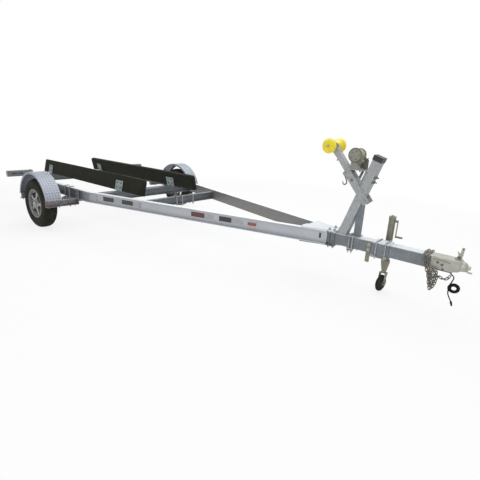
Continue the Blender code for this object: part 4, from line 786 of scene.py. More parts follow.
@dataclass
class Surface:
    """Points and polygons of one mesh; each array of faces holds polygons of one size."""

    points: np.ndarray
    faces: list[np.ndarray] = field(default_factory=list)

    def __add__(self, other: Surface) -> Surface:
        """Both surfaces as one."""
        shifted = [faces + len(self.points) for faces in other.faces]
        return Surface(np.vstack([self.points, other.points]), [*self.faces, *shifted])

    def moved(self, matrix: Matrix | np.ndarray) -> Surface:
        """The surface carried by a 4 by 4 matrix."""
        turn = np.array(matrix, float)
        return Surface(self.points @ turn[:3, :3].T + turn[:3, 3], self.faces)

    def repeated(self, matrices: np.ndarray) -> Surface:
        """One copy for each matrix, worked out as one array.

        Args:
            matrices: An array of shape (copies, 4, 4).

        Returns:
            All copies as one surface.
        """
        count = len(self.points)
        turned = np.einsum("kij,nj->kni", matrices[:, :3, :3], self.points) + matrices[:, None, :3, 3]
        offsets = (np.arange(len(matrices)) * count)[:, None, None]
        faces = [(f[None] + offsets).reshape(-1, f.shape[1]) for f in self.faces]
        return Surface(turned.reshape(-1, 3), faces)

    def mesh(self, name: str, sharp: float = 35) -> bpy.types.Mesh:
        """The mesh, smooth where its faces meet at less than the sharp angle.

        Args:
            name: The mesh's name.
            sharp: The angle in degrees.

        Returns:
            The mesh, its faces out.
        """
        made = bpy.data.meshes.new(name)
        sizes = np.concatenate([np.full(len(f), f.shape[1], np.int32) for f in self.faces])
        loops = np.concatenate([f.ravel() for f in self.faces]).astype(np.int32)
        starts = np.concatenate([[0], np.cumsum(sizes)[:-1]]).astype(np.int32)
        made.vertices.add(len(self.points))
        made.vertices.foreach_set("co", self.points.astype(np.float32).ravel())
        made.loops.add(len(loops))
        made.loops.foreach_set("vertex_index", loops)
        made.polygons.add(len(sizes))
        made.polygons.foreach_set("loop_start", starts)
        made.update(calc_edges=True)
        made.validate()
        outward(made)
        made.shade_smooth()
        made.set_sharp_from_angle(angle=math.radians(sharp))
        return made


def piece(
    name: str,
    surface: Surface,
    body: str,
    stock: Stock,
    replaces: Sequence[str] = (),
    sharp: float = 35,
) -> bpy.types.Object:
    """A finished piece: its mesh, finish, body and the nodes it stands for.

    Args:
        name: The piece's name.
        surface: Its shape in the frame.
        body: The body it rides on.
        stock: Its finish.
        replaces: The nodes it stands for.
        sharp: Edges that turn by more than this many degrees stay sharp.

    Returns:
        The object.
    """
    made = bpy.data.objects.new(name, surface.mesh(name, sharp))
    bpy.context.scene.collection.objects.link(made)
    made.data.materials.append(stock.value.material())
    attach(made, body)
    if replaces:
        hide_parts(*replaces)
    LOG.info("piece %s: %d points", name, len(surface.points))
    return made


def lattice(grid: np.ndarray, around: bool = False, along: bool = False, caps: bool = False) -> Surface:
    """A surface from a grid of points of two parameters.

    Args:
        grid: Points of shape (rings, points in a ring, 3).
        around: Whether each ring closes on itself.
        along: Whether the last ring meets the first.
        caps: Whether the first and last rings are filled.

    Returns:
        The surface, its faces out for rings that run anticlockwise seen from ahead.
    """
    rings, count = grid.shape[:2]
    index = np.arange(rings * count).reshape(rings, count)
    near = index if along else index[:-1]
    far = np.roll(index, -1, 0) if along else index[1:]
    if around:
        quads = np.stack([near, np.roll(near, -1, 1), np.roll(far, -1, 1), far], -1)
    else:
        quads = np.stack([near[:, :-1], near[:, 1:], far[:, 1:], far[:, :-1]], -1)
    faces = [quads.reshape(-1, 4)]
    if caps:
        faces += [index[0][::-1][None], index[-1][None]]
    return Surface(grid.reshape(-1, 3), faces)


def smooth(route: Sequence[Point], each: int = 12) -> np.ndarray:
    """Points on a smooth curve: from b to c a cubic, its slopes there (c - a) / 2 and (d - b) / 2.

    Args:
        route: The points that the curve goes through.
        each: Points made for each span.

    Returns:
        The curve's points.
    """
    points = np.array([route[0], *route, route[-1]], float)
    shares = np.linspace(0, 1, each, endpoint=False)[None, :, None]
    a, b, c, d = (points[k : len(points) - 3 + k, None, :] for k in range(4))
    cubic = (3 * b - a - 3 * c + d) * shares**3
    spans = (2 * b + (c - a) * shares + (2 * a - 5 * b + 4 * c - d) * shares**2 + cubic) / 2
    return np.vstack([spans.reshape(-1, points.shape[1]), points[-1:]])


def even(points: np.ndarray, spacing: float) -> np.ndarray:
    """Points at even spacing along a dense curve, found on its running length.

    Args:
        points: The dense curve.
        spacing: The wanted distance between two points.

    Returns:
        The points, with both ends kept.
    """
    travel = np.concatenate([[0], np.cumsum(np.linalg.norm(np.diff(points, axis=0), axis=1))])
    marks = np.linspace(0, travel[-1], max(int(travel[-1] / spacing), 2) + 1)
    return np.stack([np.interp(marks, travel, points[:, a]) for a in range(3)], axis=1)


def unit(vectors: np.ndarray) -> np.ndarray:
    """Vectors scaled to length one."""
    return vectors / np.linalg.norm(vectors, axis=-1, keepdims=True)


def tube(
    path: np.ndarray,
    radius: float | np.ndarray,
    sides: int = 12,
    level: Point = (0, 0, 1),
    closed: bool = False,
) -> Surface:
    """A round section carried along a path.

    Each ring is the path's point plus radius times (cos a across + sin a up), where across is
    the path's tangent crossed with a level direction that it never runs along.

    Args:
        path: The centre line.
        radius: One radius, or one for each point.
        sides: Points in a ring.
        level: The direction that keeps the rings from turning.
        closed: Whether the path meets itself.

    Returns:
        The tube, capped where it is open.
    """
    before, after = (np.roll(path, 1, 0), np.roll(path, -1, 0)) if closed else (None, None)
    tangent = unit(after - before) if closed else unit(np.gradient(path, axis=0))
    across = unit(np.cross(tangent, np.array(level, float)))
    up = np.cross(across, tangent)
    angle = np.linspace(0, 2 * math.pi, sides, endpoint=False)
    size = np.broadcast_to(np.asarray(radius, float), len(path))[:, None, None]
    ring = across[:, None] * np.cos(angle)[None, :, None] + up[:, None] * np.sin(angle)[None, :, None]
    grid = path[:, None] + size * ring
    return lattice(grid[:, ::-1], around=True, along=closed, caps=not closed)


def spin(profile: Sequence[Pair], steps: int = 24, closed: bool = False) -> Surface:
    """A profile of (radius, height) pairs turned about +Z.

    Args:
        profile: The pairs, from low to high.
        steps: Points in a ring.
        closed: Whether the profile meets itself, as in a ring.

    Returns:
        The turned surface, capped where the profile is open.
    """
    radius, height = np.array(profile, float).T
    angle = np.linspace(0, 2 * math.pi, steps, endpoint=False)
    rise = np.repeat(height[:, None], steps, axis=1)
    grid = np.stack([np.outer(radius, np.cos(angle)), np.outer(radius, np.sin(angle)), rise], axis=-1)
    return lattice(grid, around=True, along=closed, caps=not closed)


def slab(size: Point, chamfer: float = 0.001) -> Surface:
    """A plate about the origin: rings of a rectangle with cut corners, drawn in at both ends.

    Args:
        size: Its sizes along X, Y and Z.
        chamfer: The width of its broken edges.

    Returns:
        The plate.
    """
    half = np.array(size, float) / 2
    wide, deep = half[0] - np.array([0, chamfer]), half[1] - np.array([chamfer, 0])
    corner = np.array([(wide[0], deep[0]), (wide[1], deep[1])])
    ring = np.vstack([corner, corner[::-1] * (-1, 1), corner * (-1, -1), corner[::-1] * (1, -1)])
    inset = 1 - chamfer / half[:2]
    levels = [(-half[2], inset), (chamfer - half[2], (1, 1)), (half[2] - chamfer, (1, 1)), (half[2], inset)]
    grid = np.stack([np.column_stack([ring * share, np.full(len(ring), level)]) for level, share in levels])
    return lattice(grid, around=True, caps=True)


def plate(size: Point, place: Point, chamfer: float = 0.001) -> Surface:
    """A slab whose middle is at a place."""
    return slab(size, chamfer).moved(Matrix.Translation(place))


def frames(
    places: Sequence[Point], ways: Sequence[Point] | Point, rolls: float | np.ndarray = 0
) -> np.ndarray:
    """Matrices that set +Z of a small surface on a way at each place.

    Args:
        places: Where the copies stand.
        ways: One direction for all, or one for each.
        rolls: Turn about the way, one for all or one for each.

    Returns:
        An array of shape (copies, 4, 4).
    """
    places = np.atleast_2d(np.array(places, float))
    up = unit(np.broadcast_to(np.array(ways, float), places.shape))
    steep = np.abs(up[:, 2:]) > 0.9
    level = np.where(steep, (1.0, 0.0, 0.0), (0.0, 0.0, 1.0))
    side = unit(np.cross(level, up))
    front = np.cross(up, side)
    turn = np.broadcast_to(np.asarray(rolls, float), len(places))[:, None]
    made = np.tile(np.eye(4), (len(places), 1, 1))
    made[:, :3, 0] = side * np.cos(turn) + front * np.sin(turn)
    made[:, :3, 1] = front * np.cos(turn) - side * np.sin(turn)
    made[:, :3, 2] = up
    made[:, :3, 3] = places
    return made


def merged(surfaces: Sequence[Surface]) -> Surface:
    """Several surfaces as one.

    Args:
        surfaces: The surfaces, at least one.

    Returns:
        One surface with all their points and faces.
    """
    total = surfaces[0]
    for surface in surfaces[1:]:
        total = total + surface
    return total


def corners(node: str) -> np.ndarray:
    """The low and high corners of a node's box."""
    return np.array([list(corner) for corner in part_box(node)], float)


def middle(node: str) -> np.ndarray:
    """The middle of a node's box."""
    return corners(node).mean(axis=0)


AXLE_X = float(middle("hub_left")[0])


@dataclass(frozen=True)
class Bolt:
    """Hex head or nut on a washer, with the end of its thread when it is a nut."""

    radius: float = 0.0085
    height: float = 0.006
    stud: float = 0.0
    washer: float = 1.5
    crown: float = 0.86
    core: float = 0.55
    threads: int = 10

    def surface(self) -> Surface:
        """The bolt on its own origin, along +Z.

        Each part is a turned profile in shares of the radius and height. The thread's radius goes in
        and out from one ring to the next.

        Returns:
            The washer, the head and the thread.
        """
        wide, tall = self.radius, self.height
        flange = wide * self.washer
        washer = spin([(flange, -tall / 8), (flange, tall / 4), (wide * 1.4, tall / 3)], 18)
        head = spin([(wide, tall / 5), (wide, tall * 1.05), (wide * self.crown, tall * 1.25)], 6)
        if not self.stud:
            return washer + head
        core = wide * self.core
        steps = range(self.threads + 1)
        thread = [(core * (0.94 + 0.1 * (k % 2)), tall + self.stud * k / self.threads) for k in steps]
        return merged([washer, head, spin(thread, 12)])

    def at(self, places: Sequence[Point], ways: Sequence[Point] | Point) -> Surface:
        """Copies of the bolt at each place, along one way or each its own."""
        return self.surface().repeated(frames(places, ways))


@dataclass(frozen=True)
class UBolt:
    """Bent rod over a tube or rail, with a nut near each end."""

    rod: float = 0.005
    bend: float = 0.012
    nut: Bolt = Bolt(0.0095, 0.008)

    def surface(self, crown: Point, across: Point, down: Point, half: float, leg: float) -> Surface:
        """The rod and its nuts.

        Args:
            crown: Middle of the rod's far side.
            across: Direction from leg to leg.
            down: Direction of the legs.
            half: Half the distance between the legs.
            leg: Length of a leg.

        Returns:
            The surface.
        """
        top, side, fall = np.array(crown, float), unit(np.array(across, float)), unit(np.array(down, float))
        angle = np.linspace(0, math.pi / 2, 7)
        round_side = half - self.bend + self.bend * np.sin(angle)
        round_fall = self.bend * (1 - np.cos(angle))
        arc = top + np.outer(round_side, side) + np.outer(round_fall, fall)
        arm = top + half * side + np.outer(np.linspace(self.bend, leg, 5)[1:], fall)
        right = np.vstack([arc, arm])
        left = right - 2 * np.outer((right - top) @ side, side)
        rod = tube(np.vstack([left[::-1], right]), self.rod, 10, np.cross(side, fall))
        ends = [top + sign * half * side + (leg - 3 * self.nut.height) * fall for sign in (-1, 1)]
        return rod + self.nut.at(ends, fall)


@dataclass
class Sided:
    """What is there once on each side of the trailer."""

    side: str

    @property
    def sign(self) -> int:
        """The sign of y on this side."""
        return SIDES[self.side]


@dataclass
class Tyre(Sided):
    """Trailer tyre: rounded crown with grooves and shoulder blocks, and rings on the sidewalls."""

    steps: int = 360
    pitches: int = 60
    groove: float = 0.0055
    groove_place: float = 0.019
    groove_half: float = 0.0045
    tread_low: float = 0.28
    shoulder: Pair = (0.026, 0.069)
    centre_half: float = 0.013
    slant: float = 7.0
    cut_share: float = 0.24
    sipe_share: float = 0.12
    sipe_depth: float = 0.45
    ring_pitch: float = 0.011
    ring_height: float = 0.0009
    ring_band: Pair = (0.195, 0.275)
    outline: tuple[Pair, ...] = (
        (0.1765, 0.0700),
        (0.1850, 0.0780),
        (0.2120, 0.0838),
        (0.2400, 0.0856),
        (0.2660, 0.0806),
        (0.2840, 0.0700),
        (0.2955, 0.0560),
        (0.3018, 0.0380),
        (0.3046, 0.0190),
        (0.3050, 0.0000),
    )

    def build(self) -> None:
        """The section turned about the wheel's axis and lifted along its normal by rings less cuts."""
        half = smooth(self.outline, 5)
        section = np.vstack([half, half[-2::-1] * (1, -1)])
        radius, width = section[:, 0], section[:, 1]
        slope = unit(np.gradient(section, axis=0))
        out = np.column_stack([-slope[:, 1], slope[:, 0]])
        angle = np.linspace(0, 2 * math.pi, self.steps, endpoint=False)[:, None]
        lift = self._rings(radius) - self._cuts(radius, width, angle) * self.groove
        turned = radius + out[:, 0] * lift
        shift = width + out[:, 1] * lift
        ring = np.stack([turned * np.cos(angle), shift, turned * np.sin(angle)], axis=-1)
        node = f"tyre_{self.side}"
        made = lattice(ring + middle(node), around=True, along=True)
        piece(f"tyre_tread_{self.side}", made, f"wheel_{self.side}", Stock.TYRE, [node], 40)

    def _rings(self, radius: np.ndarray) -> np.ndarray:
        """Rings on the sidewall: the positive half of a sine of the radius, inside a band."""
        ridge = self.ring_height * np.maximum(np.sin(2 * math.pi * radius / self.ring_pitch), 0)
        return ridge * ((radius > self.ring_band[0]) & (radius < self.ring_band[1]))

    def _cuts(self, radius: np.ndarray, width: np.ndarray, angle: np.ndarray) -> np.ndarray:
        """Depth of the tread's cuts, as a share of the groove's.

        Two grooves run round. Across each shoulder a cut comes once a pitch, slanted by the width,
        and the middle has a shallow one every second pitch.

        Args:
            radius: Radius of each point of the section.
            width: Its distance from the tyre's middle plane.
            angle: The steps round the tyre, as a column.

        Returns:
            The share, over angle and section.
        """
        off = np.abs(width)
        tread = radius > self.tread_low
        lane = np.abs(off - self.groove_place) < self.groove_half
        phase = np.mod(self.pitches * angle / (2 * math.pi) + self.slant * off + 0.5 * (width > 0), 1)
        shoulder = (off > self.shoulder[0]) & (off < self.shoulder[1]) & tread
        centre = (off < self.centre_half) & tread
        sipe = self.sipe_depth * centre * (np.mod(phase * 0.5 + 0.25, 1) < self.sipe_share)
        return np.maximum(np.maximum(lane * tread, shoulder * (phase < self.cut_share)), sipe)


@dataclass
class WheelTrim(Sided):
    """Wheel nuts, valve and the hub cap's rings."""

    nuts: int = 5
    nut: Bolt = Bolt(0.0095, 0.010, 0.004)
    circle: float = 0.050
    face: float = 0.0625
    cap_radius: float = 0.0284
    band_heights: Pair = (0.064, 0.074)
    band: tuple[Pair, ...] = ((-0.001, 0.0), (0.0014, 0.001), (0.0014, 0.003), (-0.001, 0.004))
    stem: tuple[Pair, ...] = (
        (0.0042, 0.0),
        (0.0042, 0.014),
        (0.0028, 0.016),
        (0.0028, 0.024),
        (0.0045, 0.025),
        (0.0045, 0.033),
    )
    valve_place: Place = (0.118, 0.055, 0.085)
    valve_way: Place = (-0.35, 1.0, -0.25)

    def build(self) -> None:
        """A nut between each two spokes, the valve through the rim, rings round the cap."""
        out = np.array([1, self.sign, 1])
        way = out * (0, 1, 0)
        hub = middle(f"tyre_{self.side}")
        turn = 2 * math.pi * np.arange(self.nuts) / self.nuts
        ring = np.column_stack([np.cos(turn), 0 * turn, np.sin(turn)]) * self.circle
        nuts = self.nut.at(hub + ring + way * self.face, way)
        band = np.array(self.band)
        bands = [spin(band + (self.cap_radius, height), 40, True) for height in self.band_heights]
        bands = merged(bands).repeated(frames([hub], way))
        valve = spin(self.stem, 12).repeated(frames([hub + out * self.valve_place], out * self.valve_way))
        piece(f"wheel_nuts_{self.side}", nuts + bands, f"wheel_{self.side}", Stock.BRIGHT)
        piece(f"valve_{self.side}", valve, f"wheel_{self.side}", Stock.BLACK)


@dataclass
class TreadPlate(Sided):
    """Raised lozenges and rolled edges of the fender's plate, and the bolts of its brackets."""

    radius: float = 0.388
    start: float = math.radians(14)
    sweep: float = math.radians(152)
    pitch: float = 0.033
    length: float = 0.029
    width: float = 0.0100
    height: float = 0.0016
    plate_width: float = 0.186
    edge_rod: float = 0.0030
    outline: tuple[Pair, ...] = (
        (1.0, 0.0),
        (0.55, 0.72),
        (0.0, 1.0),
        (-0.55, 0.72),
        (-1.0, 0.0),
        (-0.55, -0.72),
        (0.0, -1.0),
        (0.55, -0.72),
    )
    bolt_reach: float = 0.366
    foot_bolt: Bolt = Bolt(0.0085, 0.006, 0.012)
    foot_places: Place = (0.93, 1.07, 1.19)
    foot_height: float = 0.3165
    rail_bolt: Bolt = Bolt(0.0085, 0.006, 0.006)
    rail_face: float = 0.8363
    rail_step: float = 0.018
    rail_heights: Pair = (0.43, 0.475)

    def build(self) -> None:
        """The lozenges, the edges and the bolts."""
        hub = middle(f"tyre_{self.side}")
        edge = abs(corners(f"fender_{self.side}")[:, 1]).max()
        self._lozenges(hub, edge)
        self._edges(hub, edge)
        self._bolts(hub)

    def _arc(self, angle: np.ndarray, radius: float) -> np.ndarray:
        """Points round the wheel's axis in the plane y = 0, before they are moved to the hub."""
        return np.column_stack([np.cos(angle), 0 * angle, np.sin(angle)]) * radius

    def _lozenges(self, hub: np.ndarray, edge: float) -> None:
        """Lozenges in rows round the arc, each turned by a quarter from its neighbours, in the lighter tread
        finish that paints a highlight on them.

        Args:
            hub: The wheel's middle.
            edge: How far out the plate's outer edge is.
        """
        across = np.arange(edge - self.plate_width + self.pitch / 2, edge - self.pitch / 3, self.pitch)
        along = np.arange(self.start, self.start + self.sweep, self.pitch / self.radius)
        angle, offset = (part.ravel() for part in np.meshgrid(along, across, indexing="ij"))
        row, lane = np.indices((len(along), len(across))).reshape(2, -1)
        places = self._arc(angle, self.radius) + (hub[0], 0, hub[2])
        places[:, 1] = self.sign * offset
        ring = np.array(self.outline) * (self.length / 2, self.width / 2)
        levels = [(1.0, -self.height / 2), (0.92, self.height * 0.6), (0.6, self.height)]
        grid = np.stack([np.column_stack([ring * share, np.full(len(ring), z)]) for share, z in levels])
        turns = math.pi / 4 + math.pi / 2 * ((row + lane) % 2)
        stand = frames(places, self._arc(angle, 1), turns)
        made = lattice(grid, around=True, caps=True).repeated(stand)
        piece(f"fender_lozenges_{self.side}", made, "frame", Stock.TREAD, sharp=60)

    def _edges(self, hub: np.ndarray, edge: float) -> None:
        """Rolled edges: a thin rod along the arc on both sides of the plate, in the lighter tread finish that
        paints a highlight along them.

        Args:
            hub: The wheel's middle.
            edge: How far out the plate's outer edge is.
        """
        angle = np.linspace(self.start, self.start + self.sweep, 60)
        arc = self._arc(angle, self.radius - self.edge_rod / 2)
        rods = [
            tube(arc + (hub[0], self.sign * y, hub[2]), self.edge_rod, 8, (0, 1, 0))
            for y in (edge - self.edge_rod, edge - self.plate_width + self.edge_rod)
        ]
        piece(f"fender_edges_{self.side}", merged(rods), "frame", Stock.TREAD)

    def _bolts(self, hub: np.ndarray) -> None:
        """Bolts under the brackets' feet and on the rail, ahead of the wheel and behind it.

        Args:
            hub: The wheel's middle.
        """
        sign = self.sign
        ends = (hub[0] - self.bolt_reach, hub[0] + self.bolt_reach)
        feet = [(x, sign * y, self.foot_height) for x in ends for y in self.foot_places]
        steps = (-self.rail_step, self.rail_step)
        heads = [(x + d, sign * self.rail_face, z) for x in ends for d in steps for z in self.rail_heights]
        bolts = self.foot_bolt.at(feet, (0, 0, -1)) + self.rail_bolt.at(heads, (0, sign, 0))
        piece(f"fender_bolts_{self.side}", bolts, "frame", Stock.ZINC)


@dataclass
class Bunk(Sided):
    """Carpeted board: rounded edges, folded ends and a seam of staples, with its bracket plates."""

    lean: float = math.radians(13)
    thickness: float = 0.050
    height: float = 0.196
    round_edge: float = 0.007
    spread: float = 0.854
    foot: float = 0.4931
    end_stops: tuple[float, ...] = (0.0, 0.003, 0.010, 0.020)
    stop_pitch: float = 0.040
    fold: float = 0.10
    fold_reach: float = 0.004
    fold_drop: float = 0.02
    corner_cut: float = 0.022
    waves: tuple[Place, ...] = ((0.0009, 23.0, 1.0), (0.0006, 61.0, 0.0))
    brackets: tuple[Place, ...] = ((-1.17, 0.11, 0.125), (0.69, 0.150, 0.130))
    bracket_plate: float = 0.005
    bracket_off: float = 0.0095
    bracket_drop: float = 0.004
    bolt: Bolt = Bolt(0.010, 0.007)
    bolt_low: float = 0.045
    bolt_below_top: float = 0.028
    staple: Place = (0.0012, 0.011, 0.0012)
    staple_chamfer: float = 0.0003
    staple_pitch: float = 0.075
    staple_height: float = 0.012
    staple_off: float = 0.0006
    staple_ends: Pair = (0.05, 0.04)

    def _frame(self) -> np.ndarray:
        """The board's own axes: across, along the trailer and up the board.

        Returns:
            The matrix from them to the frame.
        """
        sign = self.sign
        turn = np.eye(4)
        sine, cosine = math.sin(self.lean), math.cos(self.lean)
        turn[:3, 0] = (0, sign * cosine, sine)
        turn[:3, 1] = (1, 0, 0)
        turn[:3, 2] = (0, -sign * sine, cosine)
        turn[:3, 3] = (0, sign * self.spread / 2, self.foot)
        return turn

    def _section(self) -> np.ndarray:
        """The board's section: a rectangle whose corners are quarter circles.

        Returns:
            Pairs of across and up, anticlockwise from the foot.
        """
        angle = np.linspace(0, math.pi / 2, 5)
        r, half, tall = self.round_edge, self.thickness / 2, self.height
        arc = np.column_stack([np.cos(angle), np.sin(angle)]) * r
        foot = arc[::-1] * (1, -1) + (half - r, r)
        top = arc + (half - r, tall - r)
        return np.vstack([foot, top, top[::-1] * (-1, 1), arc * (-1, -1) + (r - half, r)])

    def build(self) -> None:
        """The section carried along X, drawn in at the folded ends, cut at the upper corners and waved."""
        (rear, _, _), (front, _, _) = corners(f"bunk_{self.side}")
        ring, reach = self._section(), front - rear
        near = np.array(self.end_stops)
        inner = np.arange(self.stop_pitch, reach - self.stop_pitch, self.stop_pitch)
        stops = np.concatenate([near, inner, reach - near[::-1]])
        end = np.minimum(stops, reach - stops)
        folded = np.exp(-end / self.fold_reach)
        wave = sum(height * np.sin(stops * rate + phase) for height, rate, phase in self.waves)
        widen = (1 - self.fold * folded)[:, None] * (1 + wave[:, None] / (self.thickness / 2))
        across = ring[None, :, 0] * widen
        cut = np.clip(self.corner_cut - end, 0, None)[:, None]
        up = np.minimum(np.broadcast_to(ring[None, :, 1], across.shape), self.height - cut)
        up = up - self.fold_drop * (ring[:, 1] > self.height / 2) * folded[:, None]
        along = np.broadcast_to((rear + stops)[:, None], across.shape)
        turn = self._frame()
        board = lattice(np.stack([across, along, up], axis=-1), around=True, caps=True).moved(turn)
        replaced = [f"bunk_{self.side}"]
        piece(f"bunk_board_{self.side}", board, "frame", Stock.CARPET, replaced, 50)
        self._hardware(turn, rear, front)

    def _hardware(self, turn: np.ndarray, rear: float, front: float) -> None:
        """Bracket plates on both faces with their bolts, and staples along the lower edge.

        Args:
            turn: The matrix of the board's axes.
            rear: Where the board starts.
            front: Where it ends.
        """
        plates, bolts = [], []
        for x, wide, tall in self.brackets:
            for face in (-1, 1):
                across, along = face * (self.thickness / 2 + self.bracket_off), AXLE_X + x
                middle_up = tall / 2 - self.bracket_drop
                plates.append(plate((self.bracket_plate, wide, tall), (across, along, middle_up)))
                skin = across + face * self.bracket_plate / 2
                heights = (self.bolt_low, tall - self.bolt_below_top)
                spots = [(skin, along + d, z) for d in (-wide / 4, wide / 4) for z in heights]
                bolts.append(self.bolt.at(spots, (face, 0, 0)))
        brackets = merged(plates).moved(turn)
        piece(f"bunk_brackets_{self.side}", brackets, "frame", Stock.BRACKET)
        piece(f"bunk_bolts_{self.side}", merged(bolts).moved(turn), "frame", Stock.STEEL)
        marks = np.arange(rear + self.staple_ends[0], front - self.staple_ends[1], self.staple_pitch)
        skin = self.thickness / 2 + self.staple_off
        shifts = [Matrix.Translation((face * skin, x, self.staple_height)) for x in marks for face in (-1, 1)]
        moves = np.stack([np.array(shift) for shift in shifts])
        staples = slab(self.staple, self.staple_chamfer).repeated(moves)
        piece(f"bunk_staples_{self.side}", staples.moved(turn), "frame", Stock.BRIGHT)


@dataclass
class RailTrim(Sided):
    """What is fixed to a side rail: reflective tape, marker lamp, bolts and the axle's clamps.

    Places along the rail are counted from the axle.
    """

    line: RailLine = RailLine()
    tape_heights: Pair = (0.414, 0.466)
    tape_proud: float = 0.0006
    dark_tapes: tuple[Pair, ...] = ((0.79, 0.95), (1.07, 1.23), (2.33, 2.47))
    red_tapes: tuple[Pair, ...] = ((2.00, 2.16),)
    silver_tapes: tuple[Pair, ...] = ((0.955, 1.065), (1.235, 1.35), (2.165, 2.27), (2.475, 2.60))
    marker: Pair = (2.655, 2.735)
    marker_heights: Pair = (0.425, 0.450)
    marker_proud: float = 0.012
    slot: Pair = (3.352, 3.370)
    slot_heights: Pair = (0.418, 0.466)
    slot_proud: float = 0.0005
    bolt: Bolt = Bolt(0.0075, 0.005, 0.004)
    members: Place = (-1.17, 0.69, 1.33)
    bolt_heights: Pair = (0.415, 0.452)
    hoop: UBolt = UBolt(0.006, 0.014, Bolt(0.011, 0.009))
    hoop_top: float = 0.5105
    hoop_half: float = 0.0335
    hoop_leg: float = 0.255
    axle_place: float = 0.115
    clamp_offset: float = 0.056
    clamp_out: float = 0.025
    clamp_plate: Place = (0.16, 0.100, 0.008)
    clamp_height: float = 0.2955

    def patch(self, x: Pair, z: Pair, proud: float) -> Surface:
        """A thin patch on the web between two places and two heights.

        Args:
            x: Its two ends along the rail.
            z: Its lower and upper edge.
            proud: How far it stands out.

        Returns:
            The patch.
        """
        places = np.array([x[0], x[1], x[1], x[0]])
        face = self.sign * self.line.face(places)
        ring = np.column_stack([places + AXLE_X, face, [z[0], z[0], z[1], z[1]]])
        lifts = np.array([0.0001, proud])[:, None, None] * (0, self.sign, 0)
        return lattice(ring[None] + lifts, around=True, caps=True)

    def build(self) -> None:
        """Tapes, marker and slot on the web, then what is bolted to the rail."""
        for name, stock, spans, slot in (
            ("dark", Stock.TAPE_DARK, self.dark_tapes, "black_plastic"),
            ("red", Stock.TAPE_RED, self.red_tapes, "red_lens"),
            ("silver", Stock.TAPE_SILVER, self.silver_tapes, "black_plastic"),
        ):
            tapes = merged([self.patch(span, self.tape_heights, self.tape_proud) for span in spans])
            piece(f"tape_{name}_{self.side}", tapes, "frame", stock)
        lamp = self.patch(self.marker, self.marker_heights, self.marker_proud)
        piece(f"marker_{self.side}", lamp, "frame", Stock.AMBER)
        slot = self.patch(self.slot, self.slot_heights, self.slot_proud)
        piece(f"rail_slot_{self.side}", slot, "frame", Stock.PLASTIC)
        self._bolted()

    def _bolted(self) -> None:
        """Bolts where the members meet the web, and two hoops with a plate that hold the axle."""
        sign = self.sign
        spots = [(AXLE_X + x, sign * self.line.face(x), z) for x in self.members for z in self.bolt_heights]
        bolts = self.bolt.at(spots, (0, sign, 0))
        piece(f"rail_bolts_{self.side}", bolts, "frame", Stock.POST)
        x, y = AXLE_X + self.axle_place, sign * (self.line.spread + self.clamp_out)
        clamps = [
            self.hoop.surface((x + d, y, self.hoop_top), (0, 1, 0), (0, 0, -1), self.hoop_half, self.hoop_leg)
            for d in (-self.clamp_offset, self.clamp_offset)
        ]
        clamps.append(plate(self.clamp_plate, (x, y, self.clamp_height)))
        piece(f"axle_clamps_{self.side}", merged(clamps), "frame", Stock.POST)


OVER_TONGUE = ((0.0605, 0.461), (0.0625, 0.502), (0.0, 0.5005), (-0.0640, 0.502))


def drape(x: float, hang: Sequence[Place]) -> tuple[Place, ...]:
    """A chain's route: up the tongue's left side, over it at x, and down through the hanging points."""
    route = [*((x, y, z) for y, z in OVER_TONGUE), *hang]
    return tuple((AXLE_X + along, y, z) for along, y, z in route)


CHAIN_ROUTES = {
    "right": drape(
        4.266,
        [
            (4.280, -0.0675, 0.430),
            (4.318, -0.070, 0.345),
            (4.340, -0.074, 0.262),
            (4.352, -0.070, 0.226),
            (4.372, -0.062, 0.260),
            (4.384, -0.066, 0.330),
            (4.370, -0.078, 0.392),
            (4.345, -0.080, 0.372),
            (4.338, -0.062, 0.300),
            (4.356, -0.078, 0.246),
            (4.366, -0.092, 0.296),
            (4.354, -0.094, 0.352),
            (4.326, -0.086, 0.392),
            (4.322, -0.066, 0.330),
        ],
    ),
    "left": drape(
        4.296,
        [
            (4.306, -0.0675, 0.440),
            (4.322, -0.088, 0.380),
            (4.344, -0.092, 0.300),
            (4.360, -0.086, 0.270),
            (4.376, -0.082, 0.320),
            (4.368, -0.090, 0.384),
            (4.344, -0.092, 0.410),
            (4.336, -0.084, 0.360),
            (4.352, -0.070, 0.322),
            (4.388, -0.074, 0.352),
            (4.430, -0.070, 0.336),
            (4.462, -0.066, 0.350),
            (4.478, -0.062, 0.398),
        ],
    ),
}


@dataclass
class Chain:
    """Safety chain: round links along a route, each turned a quarter from the last."""

    name: str
    route: tuple[Place, ...]
    wire: float = 0.0070
    pitch: float = 0.0245
    width: float = 0.0250
    bends: int = 18

    def build(self) -> None:
        """Each link is a stadium: two half circles joined by straight sides, its middle on the route."""
        dense = smooth(self.route, 14)
        travel = np.concatenate([[0], np.cumsum(np.linalg.norm(np.diff(dense, axis=0), axis=1))])
        marks = np.arange(int(travel[-1] // self.pitch) + 1) * self.pitch
        places = np.stack([np.interp(marks, travel, dense[:, a]) for a in range(3)], axis=1)
        ways = np.diff(places, axis=0)
        rolls = math.pi / 2 * (np.arange(len(ways)) % 2) + math.pi / 4
        bend = (self.width - self.wire) / 2
        half = (self.pitch + self.wire) / 2 - bend
        angle = np.linspace(0, 2 * math.pi, self.bends, endpoint=False) + math.pi / self.bends
        sine = np.sin(angle)
        path = np.column_stack([bend * np.cos(angle), 0 * angle, bend * sine + half * np.sign(sine)])
        link = tube(path, self.wire / 2, 9, (0, 1, 0), closed=True)
        links = link.repeated(frames((places[1:] + places[:-1]) / 2, ways, rolls))
        replaced = [f"safety_chain_{self.name}"]
        piece(f"chain_{self.name}", links, "frame", Stock.CHAIN, replaced, 60)


